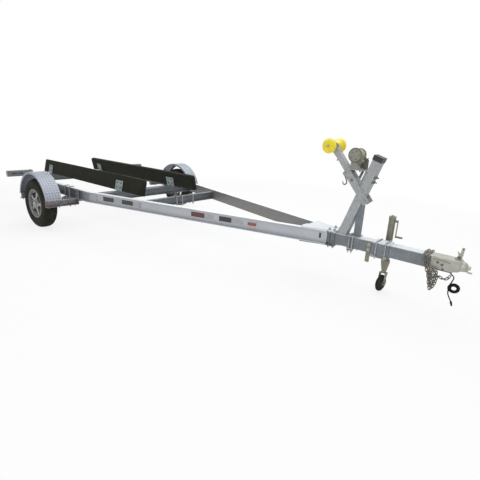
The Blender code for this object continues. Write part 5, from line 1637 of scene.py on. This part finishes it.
@dataclass
class Clamps:
    """Clamps on the tongue: junction nuts, brace foot, jack mount bolts and the weld of the post."""

    tongue_half: float = 0.0508
    tongue_mid: float = 0.440
    hoop: UBolt = UBolt(0.0055, 0.013, Bolt(0.010, 0.008))
    hoop_places: Pair = (3.640, 3.670)
    hoop_half: float = 0.058
    hoop_rise: float = 0.012
    hoop_leg: float = 0.155
    brace_place: float = 3.655
    foot: Place = (0.105, 0.140, 0.006)
    foot_off: float = 0.0035
    saddle: Place = (0.062, 0.136, 0.010)
    saddle_off: float = 0.0055
    saddle_chamfer: float = 0.003
    nut: Bolt = Bolt(0.011, 0.009, 0.012)
    nut_places: Pair = (3.444, 3.491)
    nut_out: float = 0.0571
    nut_levels: tuple[Pair, ...] = ((0.5118, 1), (0.3682, -1))
    bead_half: Pair = (0.0402, 0.0381)
    bead_ahead: float = 0.040
    bead_rise: float = 0.002
    bead_spacing: float = 0.0025
    bead_radius: float = 0.0028
    bead_swell: float = 0.0007
    bead_rate: float = 1.7
    member_hoops: Place = (-0.07, 0.02, 0.20)
    member_gap: float = 0.006
    member_rise: float = 0.0058
    member_leg: float = 0.125
    jack_nut: Bolt = Bolt(0.010, 0.008, 0.008)
    jack_nut_places: Pair = (-0.055, 0.055)
    jack_nut_drop: float = 0.012
    jack_nut_out: float = 0.006
    jack_hoop: UBolt = UBolt(0.0055, 0.012, Bolt(0.010, 0.008))
    jack_hoop_places: Pair = (-0.030, 0.048)
    jack_hoop_rise: float = 0.0055
    jack_hoop_leg: float = 0.150
    jack_plate: float = 0.0083
    bar_bolt: Bolt = Bolt(0.0095, 0.007)
    bar_drops: Pair = (0.03, 0.075)

    def build(self) -> None:
        """Every clamp as one galvanised piece with its nuts, then the jack's own."""
        low, high = self.tongue_mid - self.tongue_half, self.tongue_mid + self.tongue_half
        crowns = [(AXLE_X + x, 0, high + self.hoop_rise) for x in self.hoop_places]
        down = (0, 0, -1)
        parts = [self.hoop.surface(crown, (0, 1, 0), down, self.hoop_half, self.hoop_leg) for crown in crowns]
        parts.append(plate(self.foot, (AXLE_X + self.brace_place, 0, high + self.foot_off)))
        under = (AXLE_X + self.brace_place, 0, low - self.saddle_off)
        parts.append(plate(self.saddle, under, self.saddle_chamfer))
        parts += [
            self.nut.at([(AXLE_X + x, y, z)], (0, 0, way))
            for x in self.nut_places
            for y in (-self.nut_out, self.nut_out)
            for z, way in self.nut_levels
        ]
        parts.append(self._bead(corners("winch_post")[0, 0] + self.bead_ahead, high + self.bead_rise))
        member = corners("crossmember_front")
        half = (member[1, 0] - member[0, 0]) / 2 + self.member_gap
        crowns = [(member[:, 0].mean(), y, member[1, 2] + self.member_rise) for y in self.member_hoops]
        parts += [self.hoop.surface(crown, (1, 0, 0), down, half, self.member_leg) for crown in crowns]
        piece("tongue_clamps", merged(parts), "frame", Stock.POST)
        self._jack_bolts()

    def _bead(self, x: float, z: float) -> Surface:
        """A weld bead round the post's foot: a thin tube whose radius is a sine of the place along it.

        Args:
            x: Middle of the foot along the trailer.
            z: Height of the bead.

        Returns:
            The closed bead.
        """
        ring = np.array([(1, 1), (-1, 1), (-1, -1), (1, -1), (1, 1)]) * self.bead_half
        path = even(np.column_stack([ring, np.zeros(5)]), self.bead_spacing)[:-1] + (x, 0, z)
        swell = self.bead_radius + self.bead_swell * np.sin(np.arange(len(path)) * self.bead_rate)
        return tube(path, swell, 8, (0, 0, 1), closed=True)

    def _jack_bolts(self) -> None:
        """Nuts and hoops of the jack's mount, and the hanger bar's bolts."""
        low, high = corners("jack_mount")
        x = (low[0] + high[0]) / 2
        edge = self.tongue_half + self.jack_plate
        under = self.tongue_mid - self.tongue_half - self.jack_nut_drop
        spots = [(x + d, -edge - self.jack_nut_out, under) for d in self.jack_nut_places]
        nuts = self.jack_nut.at(spots, (0, -1, 0))
        half, rise = edge + self.member_rise, high[2] + self.jack_hoop_rise
        hoops = [
            self.jack_hoop.surface((x + d, 0, rise), (0, 1, 0), (0, 0, -1), half, self.jack_hoop_leg)
            for d in self.jack_hoop_places
        ]
        bar_low, bar_high = corners("hanger_bar")
        holes = [(middle("hanger_bar")[0], bar_low[1], bar_high[2] - drop) for drop in self.bar_drops]
        nuts = nuts + self.bar_bolt.at(holes, (0, -1, 0))
        piece("jack_clamps", merged([nuts, *hoops]), "frame", Stock.POST)


@dataclass(frozen=True)
class Gear:
    """Toothed ring of the winch."""

    radius: float
    teeth: int
    depth: float = 0.0013
    half: float = 0.0043
    bore: float = 0.82

    def at(self, place: Point) -> Surface:
        """The ring round a place, its axis along Y: the radius is a clipped sine, one wave a tooth.

        Args:
            place: Its middle.

        Returns:
            The ring.
        """
        angle = np.linspace(0, 2 * math.pi, self.teeth * 6, endpoint=False)
        reach = self.radius + self.depth * np.clip(1.6 * np.sin(self.teeth * angle), -1, 1)
        inner = np.full(len(angle), self.radius * self.bore)
        radius = np.stack([inner, reach, reach, inner])
        height = np.array([-self.half, -self.half, self.half, self.half])[:, None]
        grid = np.stack([radius * np.cos(angle), radius * np.sin(angle), height + 0 * radius], axis=-1)
        return lattice(grid, around=True, along=True).repeated(frames([place], (0, 1, 0)))


@dataclass
class WinchTrim:
    """Gear teeth, pawl, bolts of the stand, and the arm's band with the strap's hook.

    Places on the bow arm are lengths along it from its pivot; x is counted from the axle.
    """

    lean: float = math.radians(18.6)
    arm_lean: float = math.radians(-39.9)
    arm_root: Pair = (3.7154, 0.8204)
    wheel: Gear = Gear(0.0600, 44)
    pinion: Gear = Gear(0.0206, 14)
    pinion_place: Pair = (3.6404, 1.1224)
    gear_in: float = 0.004
    rivet: Bolt = Bolt(0.0045, 0.003)
    rivets: int = 5
    rivet_circle: float = 0.034
    crank_nut: Bolt = Bolt(0.010, 0.008, 0.006)
    crank_reach: float = 0.1122
    pawl: Place = (0.030, 0.010, 0.040)
    pawl_place: Place = (3.664, -0.0575, 1.108)
    lever: tuple[Pair, ...] = ((3.668, 1.118), (3.680, 1.140), (3.700, 1.158), (3.709, 1.172))
    lever_radius: float = 0.0045
    base_places: Pair = (0.030, 0.085)
    base_half: float = 0.032
    base_nut: Bolt = Bolt(0.008, 0.006, 0.008)
    base_nut_drop: float = 0.0062
    base_head: Bolt = Bolt(0.008, 0.005)
    base_head_rise: float = 0.0031
    post_nut: Bolt = Bolt(0.009, 0.008, 0.016)
    post_heights: Pair = (1.018, 0.978)
    post_half: float = 0.022
    post_foot: Pair = (3.55, 0.4908)
    post_depth: float = 0.0381
    arm_bolt: Bolt = Bolt(0.0085, 0.006, 0.004)
    arm_bolt_along: float = 0.205
    arm_half: float = 0.0434
    stop: Bolt = Bolt(0.009, 0.008, 0.014)
    stop_along: float = 0.433
    stop_off: float = 0.0237
    band_along: float = 0.290
    band_off: float = 0.0017
    band_plates: tuple[tuple[Place, Place], ...] = (
        ((0.005, 0.066, 0.044), (-0.0278, 0, 0)),
        ((0.005, 0.066, 0.044), (0.0278, 0, 0)),
        ((0.060, 0.004, 0.040), (0, -0.0273, 0)),
        ((0.060, 0.004, 0.040), (0, 0.0273, 0)),
        ((0.026, 0.006, 0.060), (-0.042, -0.014, -0.012)),
    )
    band_bolt: Bolt = Bolt(0.008, 0.006, 0.008)
    band_skin: float = 0.0303
    band_grid: Pair = (0.020, 0.012)
    hook_start: Place = (-0.016, -0.014, -0.030)
    hook_route: tuple[Pair, ...] = (
        (0.0, 0.0),
        (-0.003, -0.026),
        (0.010, -0.054),
        (0.008, -0.078),
        (-0.010, -0.087),
        (-0.024, -0.072),
        (-0.022, -0.058),
    )
    hook_radii: Place = (0.0045, 0.0062, 0.0026)
    hook_thick: float = 0.55
    eye_radius: float = 0.010
    eye_rise: float = 0.009
    eye_wire: float = 0.0035

    def build(self) -> None:
        """Everything that is fixed to the stand and the winch."""
        drum = middle("winch_strap")
        low, high = corners("winch_drum")
        angle = np.arange(self.rivets) * 2 * math.pi / self.rivets
        ring = np.column_stack([np.cos(angle), 0 * angle, np.sin(angle)]) * self.rivet_circle
        rivets = self.rivet.at(ring + (drum[0], low[1], drum[2]), (0, -1, 0))
        teeth = self.wheel.at((drum[0], low[1] + self.gear_in, drum[2]))
        piece("winch_gear_teeth", teeth + rivets, "winch_drum", Stock.ZINC)
        x, z = AXLE_X + self.pinion_place[0], self.pinion_place[1]
        end = self.crank_nut.at([(x, high[1] - self.crank_reach, z)], (0, -1, 0))
        teeth = self.pinion.at((x, low[1] + self.gear_in, z))
        piece("winch_pinion_teeth", teeth + end, "winch_crank", Stock.ZINC)
        self._pawl()
        self._stand()
        self._band()

    def _pawl(self) -> None:
        """Pawl on the winch's frame, with its curved lever."""
        x, y, z = self.pawl_place
        route = [(AXLE_X + along, y, up) for along, up in self.lever]
        lever = tube(smooth(route, 5), self.lever_radius, 8, (0, 1, 0))
        pawl = plate(self.pawl, (AXLE_X + x, y, z), 0.003)
        piece("winch_pawl", pawl + lever, "frame", Stock.PLASTIC)

    def _arm(self, along: float) -> np.ndarray:
        """The point at a length along the bow arm, in its middle plane."""
        up = (math.sin(self.arm_lean), 0, math.cos(self.arm_lean))
        return np.array([AXLE_X + self.arm_root[0], 0, self.arm_root[1]]) + along * np.array(up)

    def _stand(self) -> None:
        """Bolts through the shelf, studs through the post, and the arm's cross bolt and stop."""
        shelf, winch = corners("winch_shelf"), corners("winch_frame")
        sides = (-self.base_half, self.base_half)
        base = [(winch[0, 0] + x, y) for x in self.base_places for y in sides]
        nuts = [self.base_nut.at([(*spot, shelf[1, 2] - self.base_nut_drop) for spot in base], (0, 0, -1))]
        seat = winch[0, 2] + self.base_head_rise
        nuts.append(self.base_head.at([(*spot, seat) for spot in base], (0, 0, 1)))
        way = (math.cos(self.lean), 0, -math.sin(self.lean))
        foot_x, foot_z = self.post_foot
        depth = self.post_depth / math.cos(self.lean)
        for z in self.post_heights:
            face = AXLE_X + foot_x + (z - foot_z) * math.tan(self.lean) + depth
            nuts.append(self.post_nut.at([(face, y, z) for y in (-self.post_half, self.post_half)], way))
        for side in (-1, 1):
            spot = self._arm(self.arm_bolt_along) + (0, side * self.arm_half, 0)
            nuts.append(self.arm_bolt.at([spot], (0, side, 0)))
        rear = np.array([-math.cos(self.arm_lean), 0, math.sin(self.arm_lean)])
        nuts.append(self.stop.at([self._arm(self.stop_along) + self.stop_off * rear], rear))
        piece("stand_bolts", merged(nuts), "frame", Stock.ZINC)

    def _band(self) -> None:
        """A band of plates round the bow arm, in the arm's own axes, and the hook below it."""
        sine, cosine = math.sin(self.arm_lean), math.cos(self.arm_lean)
        ahead = np.array([cosine, 0, -sine])
        at = self._arm(self.band_along) + self.band_off * ahead
        turn = np.eye(4)
        turn[:3] = np.column_stack([ahead, (0, 1, 0), (sine, 0, cosine), at])
        band = [plate(size, place) for size, place in self.band_plates]
        wide, tall = self.band_grid
        spots = [(-self.band_skin, y, z) for y in (-wide, wide) for z in (-tall, tall)]
        made = merged([*band, self.band_bolt.at(spots, (-1, 0, 0))]).moved(turn)
        piece("arm_band", made, "frame", Stock.POST)
        self._hook(at + np.array(self.hook_start))

    def _hook(self, start: np.ndarray) -> None:
        """The strap's hook: a bent rod that is thickest in its bend, under a closed eye.

        Args:
            start: Where the rod meets the eye.
        """
        path = smooth([start + np.array([x, 0, z]) for x, z in self.hook_route], 6)
        swell = np.interp(np.linspace(0, 1, len(path)), [0, self.hook_thick, 1], self.hook_radii)
        angle = np.linspace(0, 2 * math.pi, 20, endpoint=False)
        ring = np.column_stack([np.sin(angle), 0 * angle, np.cos(angle)]) * self.eye_radius
        eye = tube(start + ring + (0, 0, self.eye_rise), self.eye_wire, 8, (0, 1, 0), closed=True)
        hook = tube(path, swell, 10, (0, 1, 0)) + eye
        piece("strap_hook", hook, "frame", Stock.ZINC)


@dataclass
class JackTrim:
    """Collars of the jack's tube, its top screw and the caster's tread, hubs and nuts."""

    tube_radius: float = 0.0286
    collars: tuple[Place, ...] = (
        (0.302, 0.0022, 0.010),
        (0.390, 0.0016, 0.005),
        (0.492, 0.0016, 0.005),
        (0.664, 0.0018, 0.006),
    )
    lap: float = 0.001
    lid_bolt: Bolt = Bolt(0.011, 0.008)
    lid_in: float = 0.0005
    caster_turn: float = math.radians(80)
    caster_nut: Bolt = Bolt(0.0105, 0.007)
    caster_reach: float = 0.0352
    tread: tuple[Pair, ...] = ((0.0732, -0.009), (0.0756, -0.006), (0.0756, 0.006), (0.0732, 0.009))
    hub: tuple[Pair, ...] = ((0.0088, 0.0203), (0.020, 0.0203), (0.020, 0.0225), (0.0088, 0.0225))

    def build(self) -> None:
        """Rings round the tube and a bolt on its lid, then the caster."""
        x, y, _ = middle("jack_ram")
        rings = []
        for z, proud, tall in self.collars:
            low, high = self.tube_radius - self.lap, self.tube_radius + proud
            section = [(low, z), (high, z + self.lap), (high, z + tall), (low, z + tall + self.lap)]
            rings.append(spin(section, 36, True))
        collars = merged(rings).moved(Matrix.Translation((x, y, 0)))
        lid = self.lid_bolt.at([(x, y, corners("jack_tube")[1, 2] - self.lid_in)], (0, 0, 1))
        piece("jack_collars", collars + lid, "jack_tube", Stock.JACK)
        self._caster()

    def _caster(self) -> None:
        """Nuts on the yoke, and the wheel's tread and hubs turned about its axle."""
        wheel = middle("jack_wheel")
        way = np.array([-math.sin(self.caster_turn), math.cos(self.caster_turn), 0])
        ways = np.stack([way, -way])
        nuts = self.caster_nut.at(wheel + self.caster_reach * ways, ways)
        piece("caster_nuts", nuts, "jack_caster", Stock.JACK)
        tread = spin(self.tread, 48, True).repeated(frames([wheel], way))
        hubs = spin(self.hub, 28, True).repeated(frames([wheel, wheel], ways))
        piece("caster_tread", tread, "jack_wheel", Stock.TYRE)
        piece("caster_hubs", hubs, "jack_wheel", Stock.JACK)


@dataclass
class CouplerTrim:
    """Bolts through the coupler's sleeve, pressed ribs on its sides and the latch's pin.

    Places are pairs of x from the axle and z.
    """

    side_y: float = 0.0553
    bolt: Bolt = Bolt(0.0070, 0.005, 0.004)
    bolts: tuple[Pair, ...] = ((4.368, 0.452), (4.401, 0.439), (4.411, 0.405))
    rib: tuple[Pair, ...] = ((4.330, 0.474), (4.40, 0.472), (4.455, 0.466))
    rib_radius: float = 0.0032
    rib_in: float = 0.0012
    pin: Bolt = Bolt(0.0075, 0.006)
    pin_place: Pair = (4.497, 0.512)
    pin_half: float = 0.0060
    knob: tuple[Pair, ...] = ((0.0035, -0.011), (0.0062, -0.009), (0.0062, 0.009), (0.0035, 0.011))
    knob_drop: float = 0.010
    knob_back: float = 0.009

    def build(self) -> None:
        """Bolt heads and one rib on both sides, the pin, and the knob on the latch's tip."""
        heads = []
        for sign in (-1, 1):
            spots = [(AXLE_X + x, sign * self.side_y, z) for x, z in self.bolts]
            heads.append(self.bolt.at(spots, (0, sign, 0)))
        for sign in (-1, 1):
            rib = [(AXLE_X + x, sign * (self.side_y - self.rib_in), z) for x, z in self.rib]
            heads.append(tube(smooth(rib, 6), self.rib_radius, 8))
        x, z = self.pin_place
        pins = [(AXLE_X + x, y, z) for y in (-self.pin_half, self.pin_half)]
        heads.append(self.pin.at(pins, [(0, -1, 0), (0, 1, 0)]))
        tip = corners("coupler_latch")[1]
        place = (tip[0] - self.knob_back, 0, tip[2] - self.knob_drop)
        heads.append(spin(self.knob, 14).repeated(frames([place], (0, 1, 0))))
        piece("coupler_bolts", merged(heads), "frame", Stock.ZINC)


@dataclass
class LampTrim(Sided):
    """Housing round the lens of a rear lamp, with its screws, its wire cover and the arm's nuts."""

    bar: float = 0.006
    bar_depth: float = 0.004
    bar_proud: float = 0.0015
    inset: float = 0.010
    upright_cut: float = 0.016
    divider: float = 0.018
    cover: Place = (0.003, 0.090, 0.026)
    cover_in: float = 0.0018
    cover_aside: float = 0.022
    screw: tuple[Pair, ...] = ((0.0040, 0), (0.0040, 0.0015), (0.0022, 0.0026))
    screw_inset: float = 0.022
    screw_proud: float = 0.001
    stud: Bolt = Bolt(0.008, 0.006, 0.005)
    stud_places: Pair = (0.018, 0.044)
    stud_out: float = 0.805
    stud_in: float = 0.0002

    def build(self) -> None:
        """A black frame proud of the lens's rear face, the wire cover, and screws and nuts."""
        low, high = corners(f"tail_lamp_{self.side}")
        mid, size, sign = (low + high) / 2, high - low, self.sign
        rear = low[0] - self.bar_proud
        across = (self.bar_depth, size[1] - self.bar, self.bar)
        upright = (self.bar_depth, self.bar, size[2] - self.upright_cut)
        bars = [plate(across, (rear, mid[1], z)) for z in (low[2] + self.inset, high[2] - self.inset)]
        places = (low[1] + self.inset, mid[1] + self.divider, high[1] - self.inset)
        bars += [plate(upright, (rear, y, mid[2])) for y in places]
        inner = mid[1] - sign * (size[1] / 2 + self.cover_aside)
        bars.append(plate(self.cover, (high[0] - self.cover_in, inner, mid[2])))
        piece(f"lamp_bezel_{self.side}", merged(bars), "frame", Stock.PLASTIC)
        edges = (low[1] + self.screw_inset, high[1] - self.screw_inset)
        spots = [(low[0] - self.screw_proud, y, mid[2]) for y in edges]
        screws = spin(self.screw, 14).repeated(frames(spots, (-1, 0, 0)))
        arm = corners(f"light_arm_{self.side}")
        studs = [(arm[0, 0] + x, sign * self.stud_out, arm[1, 2] - self.stud_in) for x in self.stud_places]
        nuts = self.stud.at(studs, (0, 0, 1))
        piece(f"lamp_screws_{self.side}", screws + nuts, "frame", Stock.BRIGHT)


@dataclass(frozen=True)
class Viewpoint:
    """The photograph's camera, worked out from the trailer's straight edges."""

    place: Place = (3.3994, -3.1981, 1.3980)
    yaw: float = math.radians(39.6646)
    pitch: float = math.radians(-16.7967)
    roll: float = math.radians(3.0267)
    focal_share: float = 0.80990
    sensor: float = 36.0

    def build(self) -> None:
        """Sets the scene's camera: its axes are right, up and backwards after the roll."""
        sine, cosine = math.sin(self.yaw), math.cos(self.yaw)
        ahead = np.array([-sine * math.cos(self.pitch), cosine * math.cos(self.pitch), math.sin(self.pitch)])
        level = np.array([cosine, sine, 0.0])
        rise = np.cross(level, ahead)
        right = math.cos(self.roll) * level + math.sin(self.roll) * rise
        up = math.cos(self.roll) * rise - math.sin(self.roll) * level
        lens = bpy.data.cameras.new("camera")
        lens.sensor_width = self.sensor
        lens.lens = self.sensor * self.focal_share
        camera = bpy.data.objects.new("camera", lens)
        bpy.context.scene.collection.objects.link(camera)
        turn = np.eye(4)
        turn[:3, :3] = np.stack([right, up, -ahead], axis=1)
        turn[:3, 3] = self.place
        camera.matrix_world = Matrix(turn.tolist())
        bpy.context.scene.camera = camera


@dataclass(frozen=True)
class Lamp:
    """A square area lamp that faces a target; its power is in watts."""

    name: str
    place: Place
    target: Place
    size: float
    power: float

    def build(self) -> None:
        """Sets the lamp's axes: back from the target, and sideways level with the floor."""
        light = bpy.data.lights.new(self.name, "AREA")
        light.size = self.size
        light.energy = self.power
        made = bpy.data.objects.new(self.name, light)
        back = unit(np.array(self.place) - np.array(self.target))
        side = unit(np.cross((0.0, 1.0, 0.001), back))
        turn = np.eye(4)
        turn[:3] = np.column_stack([side, np.cross(back, side), back, self.place])
        made.matrix_world = Matrix(turn.tolist())
        bpy.context.scene.collection.objects.link(made)


@dataclass(frozen=True)
class Studio:
    """Pale floor, white world and soft lamps."""

    floor_size: float = 60.0
    floor_colour: Colour = (0.86, 0.86, 0.86)
    near_share: float = 0.82
    near_radius: float = 3.6
    far_radius: float = 6.5
    sky: float = 0.42
    sky_colour: Colour = (0.96, 0.98, 1.0)
    lamps: tuple[Lamp, ...] = (
        Lamp("overhead", (0.0, 1.5, 6.0), (0.0, 0.0, 0.0), 9.0, 400.0),
        Lamp("key", (5.0, -6.0, 3.5), (1.0, 0.0, 0.5), 4.0, 150.0),
    )

    def build(self) -> None:
        """Floor, world and lamps."""
        self._floor()
        self._world()
        for lamp in self.lamps:
            lamp.build()

    @staticmethod
    def _seen(tree: bpy.types.NodeTree) -> bpy.types.NodeSocket:
        """One for camera, glossy and transmission rays, and zero for the rest.

        Args:
            tree: The tree that the nodes are added to.

        Returns:
            The sum's socket.
        """
        path = tree.nodes.new("ShaderNodeLightPath")
        total = path.outputs["Is Camera Ray"]
        for name in ("Is Glossy Ray", "Is Transmission Ray"):
            add = tree.nodes.new("ShaderNodeMath")
            add.use_clamp = True
            tree.links.new(total, add.inputs[0])
            tree.links.new(path.outputs[name], add.inputs[1])
            total = add.outputs[0]
        return total

    def _floor(self) -> None:
        """A pale plane that mostly shows white and keeps a soft shadow."""
        half = self.floor_size / 2
        ring = np.array([[-half, -half, 0], [half, -half, 0], [half, half, 0], [-half, half, 0]], float)
        made = bpy.data.objects.new("floor", Surface(ring, [np.array([[0, 1, 2, 3]])]).mesh("floor"))
        bpy.context.scene.collection.objects.link(made)
        shader = Shader("floor_white")
        shader.dress(base_color=self.floor_colour, roughness=0.9, specular_ior_level=0.1)
        tree = shader.tree
        glow = tree.nodes.new("ShaderNodeEmission")
        blend = tree.nodes.new("ShaderNodeMixShader")
        x, y, _ = shader.axes(shader.place())
        away = ((x * x + y * y) ** 0.5).rise(self.near_radius, self.far_radius)
        share = (away * (1 - self.near_share) + self.near_share) * Value(shader, self._seen(tree))
        tree.links.new(share.socket, blend.inputs[0])
        tree.links.new(shader.surface.outputs[0], blend.inputs[1])
        tree.links.new(glow.outputs[0], blend.inputs[2])
        tree.links.new(blend.outputs[0], tree.nodes["Material Output"].inputs[0])
        made.data.materials.append(shader.material)

    def _world(self) -> None:
        """White where it is seen, and a softer light for the rest."""
        world = bpy.data.worlds.new("studio")
        world.use_nodes = True
        tree = world.node_tree
        sky = tree.nodes["Background"]
        sky.inputs[0].default_value = (*self.sky_colour, 1)
        sky.inputs[1].default_value = self.sky
        white = tree.nodes.new("ShaderNodeBackground")
        white.inputs[0].default_value = (1, 1, 1, 1)
        blend = tree.nodes.new("ShaderNodeMixShader")
        tree.links.new(self._seen(tree), blend.inputs[0])
        tree.links.new(sky.outputs[0], blend.inputs[1])
        tree.links.new(white.outputs[0], blend.inputs[2])
        tree.links.new(blend.outputs[0], tree.nodes["World Output"].inputs[0])
        bpy.context.scene.world = world


@dataclass
class Lead:
    """Wiring lead: hangs from the grommet, is wound in a coil and ends in its plug."""

    diameter: float = 0.009
    coil_radius: float = 0.031
    turns: float = 5.0
    stack: float = 0.0095
    places: int = 6
    gap: float = 0.0003
    each_turn: int = 24
    coil_axis: Place = (0.117, -0.640, 0.760)
    first_angle: float = math.radians(50)
    last_angle: float = math.radians(95)
    hang_steps: tuple[Pair, ...] = ((0.0, 0.0), (0.20, -0.008), (0.55, -0.020), (0.66, -0.040))
    tail_steps: tuple[Pair, ...] = ((0.002, -0.020), (0.004, -0.040), (0.012, -0.060))

    def build(self) -> None:
        """The cord from the grommet, round the coil and out to its plug, on one smooth curve."""
        centre = middle("lead_coil")
        x, y, _ = middle("lead_grommet")
        exit_at = np.array([x, y, corners("lead_grommet")[0, 2] - self.gap])
        reach = centre[0] - x
        hang = [exit_at + np.array([share * reach, 0, drop]) for share, drop in self.hang_steps]
        coil = centre + self._coil()
        tail = [coil[-1] + np.array([along, 0, drop]) for along, drop in self.tail_steps]
        tail.append(np.array([centre[0], centre[1], corners("lead_tail")[0, 2]]))
        route = even(smooth([*hang, *coil, *tail], 6), self.diameter / 2)
        cord = piece(
            "wiring_lead",
            tube(route, self.diameter / 2, 10, (0, 1, 0)),
            "frame",
            Stock.BLACK,
            ["lead_cord", "lead_coil", "lead_tail"],
        )

    def _coil(self) -> np.ndarray:
        """The coil about the origin: a circle in the plane across its tilted axis.

        It starts and ends on its rear side, where the cord runs downwards. Each turn lies in the
        next of a few places round a small circle, a diameter apart.

        Returns:
            The coil's points.
        """
        axis = unit(np.array(self.coil_axis))
        rise = unit(np.array([0, 0, 1.0]) - axis[2] * axis)
        aside = np.cross(axis, rise)
        sweep = 2 * math.pi * self.turns + self.last_angle - self.first_angle
        travel = sweep * np.linspace(0, 1, int(self.turns * self.each_turn))
        angle, drift = self.first_angle + travel, travel / self.places
        radius = (self.coil_radius + self.stack * np.cos(drift))[:, None]
        ring = np.cos(angle)[:, None] * rise + np.sin(angle)[:, None] * aside
        return radius * ring + np.outer(self.stack * np.sin(drift), axis)


def dress_nodes() -> None:
    """Gives every node of the frame its finish."""
    for stock, names in NODE_FINISH.items():
        for name in names:
            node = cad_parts[name]
            node.data.materials.clear()
            node.data.materials.append(stock.value.material())


def set_view() -> None:
    """Plain view transform."""
    bpy.context.scene.view_settings.view_transform = "Standard"


def main() -> None:
    """Builds everything in order."""
    logging.basicConfig(level=logging.INFO, format="%(name)s %(message)s")
    set_view()
    Viewpoint().build()
    for side in SIDES:
        for sided in (Tyre, WheelTrim, TreadPlate, Bunk, RailTrim, LampTrim):
            sided(side).build()
    for name, route in CHAIN_ROUTES.items():
        Chain(name, route).build()
    for single in (Clamps, WinchTrim, JackTrim, CouplerTrim, Lead, Studio):
        single().build()
    dress_nodes()


if __name__ == "__main__":
    main()
